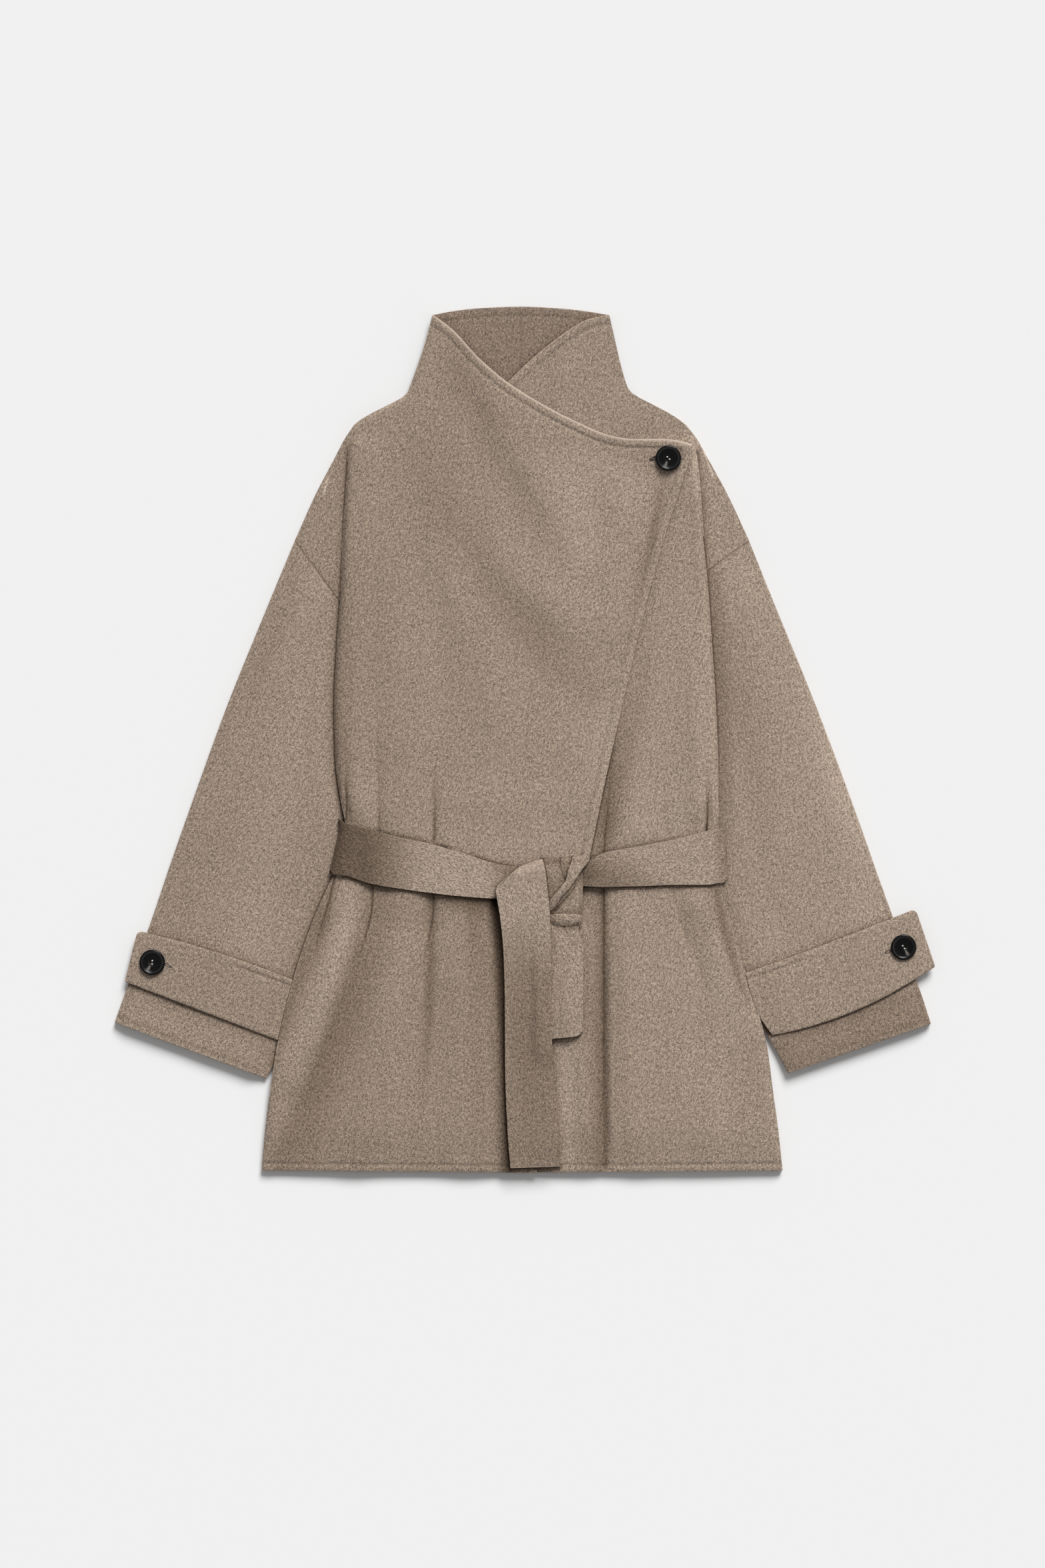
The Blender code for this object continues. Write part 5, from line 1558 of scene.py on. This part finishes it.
def tucked_edge(side, y):
    """Inner edge of a sleeve under the body's side, as if there were no belt."""
    return side_x(side, y) + SIGN[side] * SLEEVE_TUCK * ease(y, SLEEVE_EXIT[side], SLEEVE_EXIT[side] + 0.030)


def inner_edge(side, y):
    """Inner edge of a sleeve: under the body's side, but outside the belt where that turns round."""
    belt = beside_belt(side, y)
    outside_belt = side_x(side, y) - SIGN[side] * (WRAP_OUT + LAYER_GAP)
    return tucked_edge(side, y) * (1 - belt) + outside_belt * belt


def sleeve_plan(side, columns):
    """Plan points of a sleeve from its armhole seam to its cuff, and the share across."""
    first = SLEEVES[side][0][2]
    last = SLEEVE_EXIT[side]
    low_end, low_full, high_full, high_end = BESIDE_BELT[side]
    inner_y = runs(
        (first, first - 0.014, 8), (first - 0.014, high_end, 50), (high_end, high_full, 5),
        (high_full, low_full, 12), (low_full, low_end, 5), (low_end, last, 42),
    )
    outer_x = from_table(SLEEVES[side], 0, inner_y, key=2)
    outer_y = from_table(SLEEVES[side], 1, inner_y, key=2)
    inner_x = inner_edge(side, inner_y)
    end = runs((0, 1, 12))[1:]
    outer_x, outer_y, inner_x, inner_y = (
        np.append(line, between(line[-1], corner, end))
        for line, corner in zip((outer_x, outer_y, inner_x, inner_y), CUFFS[side])
    )
    open_seam = 0.1 * SEAM * ease(inner_y, 0.0, ARMPIT[side])
    share = columns[None, :]
    x = between(outer_x[:, None], inner_x[:, None], share)
    y = between(outer_y[:, None], inner_y[:, None], share) - open_seam[:, None]
    return x, y, share


class COAT_OT_sleeves(bpy.types.Operator):
    """Lay both halves of each sleeve"""

    bl_idname = "coat.sleeves"
    bl_label = "Sleeves"

    def execute(self, context):
        sizes = context.scene.coat_sizes
        across = runs((0, 0.05, 8), (0.05, 1, 44))
        for side in ("right", "left"):
            x, y, share = sleeve_plan(side, across)
            seam = np.abs(x[:, -1:] - x[:, :1]) * share
            to_inner = (tucked_edge(side, y) - x) * SIGN[side]
            puff = rounded(seam, SLEEVE_EDGE) * ease(to_inner, *SLEEVE_INNER)
            air = SLEEVE_AIR * ease(y, *SLEEVE_FULL) * ease(SLEEVE_HEAD - y, 0.0, SLEEVE_HEAD_REACH)
            hung = creases(CREASES_SLEEVE[side], x, y) + unevenness(x, y)
            low = CLOTH + SEAM + puff * (SLEEVE_PUFF + air + np.maximum(hung, -0.5 * SLEEVE_PUFF))
            cuff = far_from(x, y, (x[-1], y[-1]))
            low = low + CUFF_OPEN * (1 - ease(cuff, *CUFF_REACH)) * puff
            armhole = far_from(x, y, (x[0], y[0]))
            overarm = seam - OVERARM_SEAM
            relief = -OVERARM_DEPTH * bell(overarm, 0.0014) - ARMHOLE_DEPTH * bell(armhole, 0.0030)
            groove = 0.6 * bell(overarm, SLEEVE_SEAM_WIDTH) + 0.7 * bell(armhole, SLEEVE_SEAM_WIDTH)
            lean = np.arctan2(CUFFS[side][0] - x[0, 0], y[0, 0] - CUFFS[side][1])
            grain = turned_grain(x, y, lean)
            tab_x, tab_y = tab_plan(side)
            tab_x[-1] += SIGN[side] * TAB_BEYOND
            tab = (np.append(tab_x[:, 0], tab_x[::-1, -1]), np.append(tab_y[:, 0], tab_y[::-1, -1]))
            to_body = -inside_of(side, x, y)
            clear = NO_CONTACT * ease(SLEEVE_EXIT[side] - y, 0.0, 0.02)
            # Painted shade at the cuff below the tab, painted streaks of light and shade, a painted shade
            # line along the cuff's fold and painted light on its rolled rim
            nap = painted_shading_across(x, y) * (1 - CUFF_SHADE[side] * (1 - ease(cuff, 0.030, 0.042)))
            nap = nap * (1 + creases(PAINTED_SHADING_STREAKS["sleeve_" + side], x, y))
            nap = nap * (1 - 0.13 * bell(cuff - CUFF_FOLD, 0.0020) + 0.08 * (1 - ease(cuff, 0.0020, 0.0050)))
            if side == "left":
                clear = clear + NO_CONTACT * ease(-y, 0.140, 0.150) * (1 - ease(-y, 0.255, 0.268))
                clear = clear + 0.0012 * ease(-y, -0.020, 0.060)
                # Painted shade on the left sleeve beside the body's edge above the belt
                nap = nap * (1 - 0.12 * bell(to_body - 0.004, 0.010) * ease(y, -0.090, -0.040))
            gap = np.minimum(nearest_gap((tab,), x, y, TAB_LIT_SIDE) + TAB_CLEAR, to_body + clear)
            back_faces = upright(x, y, np.zeros_like(x), sizes.cloth)
            cloth("sleeve_%s_back" % side, back_faces, grain, "wool", context, "floor")
            cloth(
                "sleeve_%s_front" % side, upright(x, y, low, sizes.cloth, relief), grain, "wool", context,
                "sleeve_%s_back_cloth" % side, groove=np.minimum(groove, 1), nap=nap, gap=gap,
                fold=armhole, fold_depth=ARMHOLE_SHADE,
            )
        return {"FINISHED"}


def tab_plan(side):
    """Plan points of a cuff tab, from its free end inwards, its free corners rounded."""
    values = CUFF_TABS[side]
    outer_top, outer_low, inner_low, inner_top = (np.array(values[k:k + 2]) for k in (0, 2, 4, 6))
    top_bow, low_bow = values[8:]
    along = runs((0, 0.075, 12), (0.075, 1, 50))
    across = runs((0, 0.16, 9), (0.16, 0.84, 20), (0.84, 1, 9))
    bow = np.stack((0 * along, 4 * along * (1 - along)), axis=-1)
    top = between(outer_top, inner_top, along[:, None]) + top_bow * bow
    low = between(outer_low, inner_low, along[:, None]) + low_bow * bow
    to_edge = np.minimum(across, 1 - across) * np.linalg.norm(outer_low - outer_top)
    cut_back = TAB_CORNER * (1 - rounded(to_edge, TAB_CORNER))[None, :] * (1 - along)[:, None] ** 3
    x, y = np.moveaxis(between(top[:, None, :], low[:, None, :], across[None, :, None]), -1, 0)
    wedge = TAB_WEDGE[side] * np.clip((across - 0.62) / 0.38, 0, 1) ** 1.3
    beside_body = side_x(side, y[-1]) - SIGN[side] * (TAB_GAP[side] + wedge)
    return x + SIGN[side] * cut_back + (beside_body - x[-1]) * along[:, None] ** 8, y


class COAT_OT_tabs(bpy.types.Operator):
    """Lay a tab across each cuff"""

    bl_idname = "coat.tabs"
    bl_label = "Cuff tabs"

    def execute(self, context):
        sizes = context.scene.coat_sizes
        for side in ("right", "left"):
            x, y = tab_plan(side)
            share = np.linspace(0, 1, len(x))[:, None]
            lie = 2 * CLOTH + 2 * SEAM + SLEEVE_PUFF * (1 - ease(share, *TAB_SINK))
            lie = lie + TAB_CROWN * bell(share - 0.45, 0.25) + 0.5 * np.maximum(unevenness(x, y), 0)
            edge = far_from(x, y, (x[:, 0], y[:, 0]), (x[:, -1], y[:, -1]), (x[0], y[0]))
            upper = far_from(x, y, (x[:, 0], y[:, 0]))
            sewn = bell(upper - sizes.tab_inset, TAB_SEWN_WIDTH) * ease(share, *TAB_SEWN)
            relief = -sizes.stitch_depth * sewn - TAB_EDGE_DROP * (1 - rounded(edge, TAB_EDGE_ROUND))
            lean = np.arctan2(CUFFS[side][0] - SLEEVES[side][0][0], SLEEVES[side][0][1] - CUFFS[side][1])
            # The tab takes the painted light and shade across the coat, a little darker
            cloth(
                "cuff_tab_" + side, upright(x, y, lie, sizes.cloth, relief), turned_grain(x, y, lean), "wool",
                context, "sleeve_%s_front_cloth" % side, groove=1.6 * sewn, nap=painted_shading_across(x, y) * 0.98,
            )
        return {"FINISHED"}


def belt_level(x, upper, lower):
    """Lower face of the belt's front runs: level across, over the folds, its upper rim in the cloth above."""
    best = np.zeros_like(x)
    for share in np.linspace(0.0, BELT_RESTS, 9):
        for dx in np.linspace(-BELT_REACH, BELT_REACH, 9):
            best = np.maximum(best, front_top(x + dx, between(lower, upper, share)))
    return best + SEAM


def belt_run(side, across):
    """Middle surface of a front run with its turn round the side, from its end under the back."""
    run_x, run_top, run_low = columns_of(BELT_RUNS[side], 61)
    run_z = belt_level(run_x, run_top, run_low)
    smooth = np.convolve(np.pad(run_z, 4, mode="edge"), np.ones(9) / 9, mode="valid")
    run_z = np.maximum(run_z, smooth) + BELT_CLOTH / 2
    turn_mid = 0.5 * (run_z[0] + BELT_CLOTH / 2)
    back_top = BELT_MIDDLE + BELT_WIDTH / 2
    sections = []
    for angle in np.linspace(-0.5, 0.5, 19) * np.pi:
        blend = 0.5 + angle / np.pi
        top = back_top + blend * (run_top[0] - back_top) + TURN_RISE[side][0] * np.cos(angle)
        low = back_top - BELT_WIDTH + blend * (run_low[0] - back_top + BELT_WIDTH)
        low = low + TURN_RISE[side][1] * np.cos(angle)
        y = between(top, low, across)
        out = (WRAP_OUT - BELT_CLOTH / 2) * np.cos(angle)
        x = side_x(side, y) - SIGN[side] * (LAYER_GAP + out)
        z = turn_mid + (run_z[0] - turn_mid) * np.sin(angle) + 0 * x
        sections.append(np.stack((x, y, z), axis=-1))
    start = sections[0] + np.array((SIGN[side] * BELT_TUCK, 0, 0))
    lead = [between(start, sections[0], share) for share in np.linspace(0, 1, 6, endpoint=False)]
    for k in range(1, len(run_x)):
        y = between(run_top[k], run_low[k], across)
        sections.append(np.stack((run_x[k] + 0 * y, y, run_z[k] + 0 * y), axis=-1))
    return np.array(lead + sections)


def along_grain(points):
    """Grain along the length of a strip."""
    steps = np.linalg.norm(np.diff(points, axis=0), axis=-1)
    along = np.concatenate((np.zeros((1, points.shape[1])), np.cumsum(steps, axis=0)))
    steps = np.linalg.norm(np.diff(points, axis=1), axis=-1)
    across = np.concatenate((np.zeros((points.shape[0], 1)), np.cumsum(steps, axis=1)), axis=1)
    return wavy(across, along.mean(axis=1, keepdims=True) + 0 * along)


class COAT_OT_belt(bpy.types.Operator):
    """Tie the belt: the back run, two front runs, the knot and its two tails"""

    bl_idname = "coat.belt"
    bl_label = "Belt"

    def execute(self, context):
        sizes = context.scene.coat_sizes
        across = runs((0, 0.05, 3), (0.05, 0.95, 22), (0.95, 1, 3))
        ends = {}
        for side in ("right", "left"):
            middle = belt_run(side, across)
            ends[side] = middle[0]
            x, y = middle[..., 0], middle[..., 1]
            # Painted shade along each run: dark at one end and light at the other, painted streaks near the
            # knot, darker still where it turns round the side
            dull, bright, start, end, lean = BELT_PAINTED_SHADE[side]
            nap = dull + (bright - dull) * ease(x - lean * (across - 0.5), start, end)
            nap = nap * (1 + creases(PAINTED_SHADING_STREAKS["belt_" + side], x, y))
            nap = nap * (1 - TURN_SHADE * ease(-inside_of(side, x, y), -0.010, 0.004))
            over = [LONG_TAIL] + [KNOT_BANDS[key] for key in ("wrap", "twist", "lip")]
            gap = nearest_gap([strip_outline(table) for table in over], x, y)
            cloth(
                "belt_front_" + side, both_sides(middle, sizes.belt_cloth), along_grain(middle), "wool",
                context, "front_right_cloth", nap=nap, gap=gap,
            )
        share = np.linspace(0, 1, 61)[:, None, None]
        first = ends["right"] + np.array((SEAM, 0, 0))
        last = ends["left"] - np.array((SEAM, 0, 0))
        middle = between(first, last, share)
        faces = both_sides(middle, sizes.belt_cloth)
        cloth("belt_back", faces, along_grain(middle), "wool", context, "floor")
        behind = np.linspace(*KNOT_ACROSS, 10)
        upper, lower = (height + 0 * behind for height in KNOT_HEIGHTS)
        knot_level = float(np.max(belt_level(behind, upper, lower)))
        knot_level = knot_level + BELT_CLOTH + SEAM
        self.tail("belt_tail_short", SHORT_TAIL, None, knot_level, context)
        self.tail("belt_tail_long", LONG_TAIL, SHORT_TAIL, knot_level, context)
        self.knot(knot_level, context)
        return {"FINISHED"}

    def tail(self, node, table, under, knot_level, context):
        """A tail from the knot down over the skirt, and over the other tail where they cross."""
        thickness = context.scene.coat_sizes.belt_cloth
        left_x, left_y, right_x, right_y, lift = (column[:, None] for column in columns_of(table, 91))
        across = runs((0, 0.06, 3), (0.06, 0.94, 22), (0.94, 1, 3))[None, :]
        x = between(left_x, right_x, across)
        y = between(left_y, right_y, across)
        low = resting(x, y, TAIL_REACH)
        gap = 1.0
        cut = 1.0
        if under is not None:
            edge = np.array(under)
            covers = ease(x, edge[:, 0].min() - 0.012, edge[:, 0].min() - 0.002)
            covers = covers * ease(y, edge[:, 1].min() - 0.030, edge[:, 1].min() - 0.006)
            low = low + (BELT_CLOTH + LAYER_GAP) * covers
            low = between(low, np.maximum(knot_level, low), ease(y, *TAIL_TO_KNOT)) + KNOT_LIFT * lift
            top = far_from(x, y, (x[0], y[0]))
            # Painted highlight along the long tail's cut end
            cut = far_from(x, y, (x[-1], y[-1])) + 0.0010
            low = low - TAIL_TOP_DROP * (1 - rounded(top, TAIL_TOP_ROUND)) + TAIL_CURL * (1 - across) ** 2
            # Painted shade on the long tail: darker lower down and across its middle near the short tail's
            # end
            nap = 1.08 - 0.30 * ease(-y, 0.185, 0.240) - 0.12 * bell(across - 0.5, 0.4) * bell(y + 0.29, 0.07)
        else:
            fold = bell(x - TAIL_FOLD, TAIL_FOLD_WIDTH)
            low = low + 0.0012 * ease(y, -0.288, -0.258) - 0.0016 * fold * ease(y, -0.197, -0.182)
            # Painted shade in the short tail's fold
            nap = 1.04 - 0.20 * fold * ease(y, -0.195, -0.180)
            gap = nearest_gap((strip_outline(LONG_TAIL), strip_outline(KNOT_BANDS["keeper"])), x, y)
        faces = upright(x, y, low, thickness)
        grain = along_grain(0.5 * (faces[0] + faces[1]))
        cloth(node, faces, grain, "wool", context, "front_right_cloth", edge=cut, nap=nap, gap=gap)

    def knot(self, knot_level, context):
        """The knot beside the long tail: its bands of cloth over one another, joined to one piece."""
        thickness = context.scene.coat_sizes.belt_cloth
        across = runs((0, 0.1, 3), (0.1, 0.9, 22), (0.9, 1, 3))[None, :]
        bands = []
        area = 0.0
        keys = list(KNOT_BANDS)
        for place, key in enumerate(keys):
            left_x, left_y, left_z, right_x, right_y, right_z, crown = (
                column[:, None] for column in columns_of(KNOT_BANDS[key], 61)
            )
            x = between(left_x, right_x, across)
            y = between(left_y, right_y, across)
            z = between(left_z, right_z, across) + crown * 4 * across * (1 - across)
            middle = np.stack((x, y, knot_level + thickness / 2 + z), axis=-1)
            area += cut_of(middle)[2]
            over = [LONG_TAIL] + [KNOT_BANDS[other] for other in keys[place + 1:]]
            gap = nearest_gap([strip_outline(table) for table in over], x, y, KNOT_LIT_SIDE)
            # Painted shade of each band, darker towards +X on the wrap and keeper and at the tops of the
            # bands
            nap = KNOT_PAINTED_SHADE[key] - KNOT_SIDE_SHADE * ease(x, *KNOT_SIDE) * (key in ("wrap", "keeper"))
            nap = nap - KNOT_TOP_SHADE[key] * ease(y, *KNOT_TOP)
            faces = both_sides(middle, thickness)
            bands.append(shell("knot_" + key, faces, along_grain(middle), "wool", context, nap=nap, gap=gap))
        only(bands[0])
        for band in bands[1:]:
            band.select_set(True)
        bpy.ops.object.join()
        made = hand_in(context.active_object, "wool", "belt_knot")
        made.name = "belt_knot_cloth"
        area / BELT_WIDTH


class COAT_OT_buttons(bpy.types.Operator):
    """Model the three buttons with their sewing thread and the buttonholes beside them"""

    bl_idname = "coat.buttons"
    bl_label = "Buttons"

    def execute(self, context):
        for key, (x, y, turn, tilt, glint) in BUTTONS.items():
            level = 3 * CLOTH + 3 * SEAM + SLEEVE_PUFF
            if key == "shoulder":
                round_x = x + np.array((-1, 0, 1, 0, 0)) * BUTTON_SEAT
                round_y = y + np.array((0, -1, 0, 1, 0)) * BUTTON_SEAT
                level = float(np.max(over_low(round_x, round_y))) + CLOTH + SEAM
            self.button("button_" + key, (x, y, level), turn, tilt, glint, context)
            self.buttonhole(key, level, context)
        return {"FINISHED"}

    def button(self, node, place, turn, tilt, glint, context):
        """A turned button with a rounded rim, a shallow dish and two holes, and its thread."""
        only_none()
        bpy.ops.mesh.primitive_circle_add(vertices=72, radius=BUTTON_PROFILE[0][0], fill_type="NGON")
        made = context.active_object
        made.name = node + "_turned"
        bpy.ops.object.mode_set(mode="EDIT")
        bpy.ops.mesh.select_all(action="SELECT")
        for (before, low), (radius, high) in zip(BUTTON_PROFILE, BUTTON_PROFILE[1:]):
            bpy.ops.mesh.extrude_region_move(TRANSFORM_OT_translate={"value": (0, 0, high - low)})
            grow = radius / before
            bpy.ops.transform.resize(value=(grow, grow, 1), center_override=(0, 0, high))
        bpy.ops.mesh.select_all(action="SELECT")
        bpy.ops.mesh.normals_make_consistent(inside=False)
        bpy.ops.object.mode_set(mode="OBJECT")
        for side in (-1, 1):
            only_none()
            bpy.ops.mesh.primitive_cylinder_add(
                vertices=20, radius=HOLE_RADIUS, depth=0.02, location=(side * HOLE_OFF, 0, 0)
            )
            pin = context.active_object
            cut = made.modifiers.new("hole", "BOOLEAN")
            cut.operation = "DIFFERENCE"
            cut.object = pin
            apply_modifiers(made)
            bpy.data.objects.remove(pin, do_unlink=True)
        made.data.materials.append(material_for("button_black", context))
        self.mark_glint(made, glint - turn)
        self.put(made, place, turn, tilt)
        bpy.ops.object.shade_smooth_by_angle(angle=0.6)
        hand_in(made, "button_black", node)
        knots = []
        only_none()
        for side in (-1, 1):
            bpy.ops.mesh.primitive_uv_sphere_add(
                segments=20, ring_count=12, radius=THREAD_RADIUS, location=(side * HOLE_OFF, 0, THREAD_LEVEL)
            )
            bpy.ops.object.transform_apply(location=True, rotation=False, scale=False)
            knots.append(context.active_object)
        only(knots[0])
        knots[1].select_set(True)
        bpy.ops.object.join()
        thread = knots[0]
        thread.name = node + "_thread"
        thread.data.materials.append(material_for("thread", context))
        self.put(thread, place, turn, tilt)
        bpy.ops.object.shade_smooth()
        hand_in(thread, "wool")

    def mark_glint(self, made, direction):
        """Mark the narrow painted glint across the turned dish and the thin painted highlight ring where the
        dish meets the rim.
        """
        places = np.empty(3 * len(made.data.vertices))
        made.data.vertices.foreach_get("co", places)
        x, y, z = places.reshape(-1, 3).T
        radius = np.hypot(x, y)
        off = np.angle(np.exp(1j * (np.arctan2(y, x) - direction)))
        streak = bell(off, GLINT_SPREAD) * ease(radius, *GLINT_START) * (1 - ease(radius, *GLINT_END))
        ring = RING_SHARE * bell(radius - RING_RADIUS, RING_WIDTH) * (0.6 - 0.4 * np.cos(off))
        value = np.maximum(streak, ring) * (z > DISH_LEVEL)
        made.data.attributes.new("glint", "FLOAT", "POINT").data.foreach_set("value", value)

    def put(self, made, place, turn, tilt):
        """Turn, tilt and move a piece made round the origin, and bake that into its mesh."""
        only(made)
        made.rotation_euler = (0.0, tilt, turn)
        made.location = place
        bpy.ops.object.transform_apply(location=True, rotation=True, scale=True)

    def buttonhole(self, key, level, context):
        """A worked buttonhole beside a button."""
        x, y, turn, length = BUTTONHOLES[key]
        only_none()
        bpy.ops.mesh.primitive_torus_add(
            major_segments=48, minor_segments=12,
            major_radius=BUTTONHOLE_RADIUS, minor_radius=BUTTONHOLE_THREAD,
        )
        made = context.active_object
        made.name = "buttonhole_" + key
        made.scale = (length / (2 * (BUTTONHOLE_RADIUS + BUTTONHOLE_THREAD)), 1.0, 1.0)
        bpy.ops.object.transform_apply(location=False, rotation=False, scale=True)
        made.data.materials.append(material_for("buttonhole", context))
        self.put(made, (x, y, level), turn, 0.0)
        bpy.ops.object.shade_smooth()
        hand_in(made, "wool")


def only_none():
    """Leave nothing selected."""
    bpy.ops.object.select_all(action="DESELECT")


class COAT_OT_stage(bpy.types.Operator):
    """Set the floor, the light and the camera straight above the coat"""

    bl_idname = "coat.stage"
    bl_label = "Stage"

    def execute(self, context):
        scene = context.scene
        scene.view_settings.view_transform = "Standard"
        only_none()
        bpy.ops.mesh.primitive_plane_add(size=FLOOR_SIZE, location=(0, 0, -FLOOR_DROP))
        floor = context.active_object
        floor.name = "floor"
        bpy.ops.object.transform_apply(location=True, rotation=False, scale=False)
        floor.data.materials.append(material_for("floor", context))
        world = bpy.data.worlds.new("studio")
        world.use_nodes = True
        sky = world.node_tree.nodes["Background"]
        sky.inputs["Color"].default_value = (1.0, 1.0, 1.0, 1.0)
        sky.inputs["Strength"].default_value = SKY_STRENGTH
        scene.world = world
        bpy.ops.object.light_add(type="SUN")
        key = context.active_object
        key.name = "key"
        key.data.energy = SUN_STRENGTH
        key.data.angle = SUN_SPREAD
        key.rotation_euler = Vector(SUN_FROM).to_track_quat("Z", "Y").to_euler()
        bpy.ops.object.camera_add(location=CAMERA_PLACE, rotation=(0, 0, 0))
        camera = context.active_object
        camera.data.sensor_width = SENSOR
        camera.data.lens = SENSOR * CAMERA_PLACE[2] / VIEW_HEIGHT
        scene.camera = camera
        return {"FINISHED"}


class COAT_PT_panel(bpy.types.Panel):
    """Sidebar panel of the coat"""

    bl_label = "Belted wrap coat"
    bl_idname = "COAT_PT_panel"
    bl_space_type = "VIEW_3D"
    bl_region_type = "UI"
    bl_category = "Coat"

    def draw(self, context):
        layout = self.layout
        for group in (context.scene.coat_sizes, context.scene.coat_looks):
            for name in group.__annotations__:
                layout.prop(group, name)
        for operator in OPERATORS:
            layout.operator(operator.bl_idname)


OPERATORS = (
    COAT_OT_back, COAT_OT_fronts, COAT_OT_sleeves, COAT_OT_tabs, COAT_OT_belt, COAT_OT_buttons, COAT_OT_stage,
)
CLASSES = (CoatSizes, CoatLooks, *OPERATORS, COAT_PT_panel)


def register():
    """Register the classes and the coat's settings on the scene."""
    for item in CLASSES:
        bpy.utils.register_class(item)
    bpy.types.Scene.coat_sizes = PointerProperty(type=CoatSizes)
    bpy.types.Scene.coat_looks = PointerProperty(type=CoatLooks)


def unregister():
    """Take the settings and the classes out again."""
    del bpy.types.Scene.coat_sizes
    del bpy.types.Scene.coat_looks
    for item in reversed(CLASSES):
        bpy.utils.unregister_class(item)


def main():
    """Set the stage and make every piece."""
    register()
    bpy.ops.coat.stage()
    bpy.ops.coat.back()
    bpy.ops.coat.fronts()
    bpy.ops.coat.sleeves()
    bpy.ops.coat.tabs()
    bpy.ops.coat.belt()
    bpy.ops.coat.buttons()


if __name__ == "__main__":
    main()
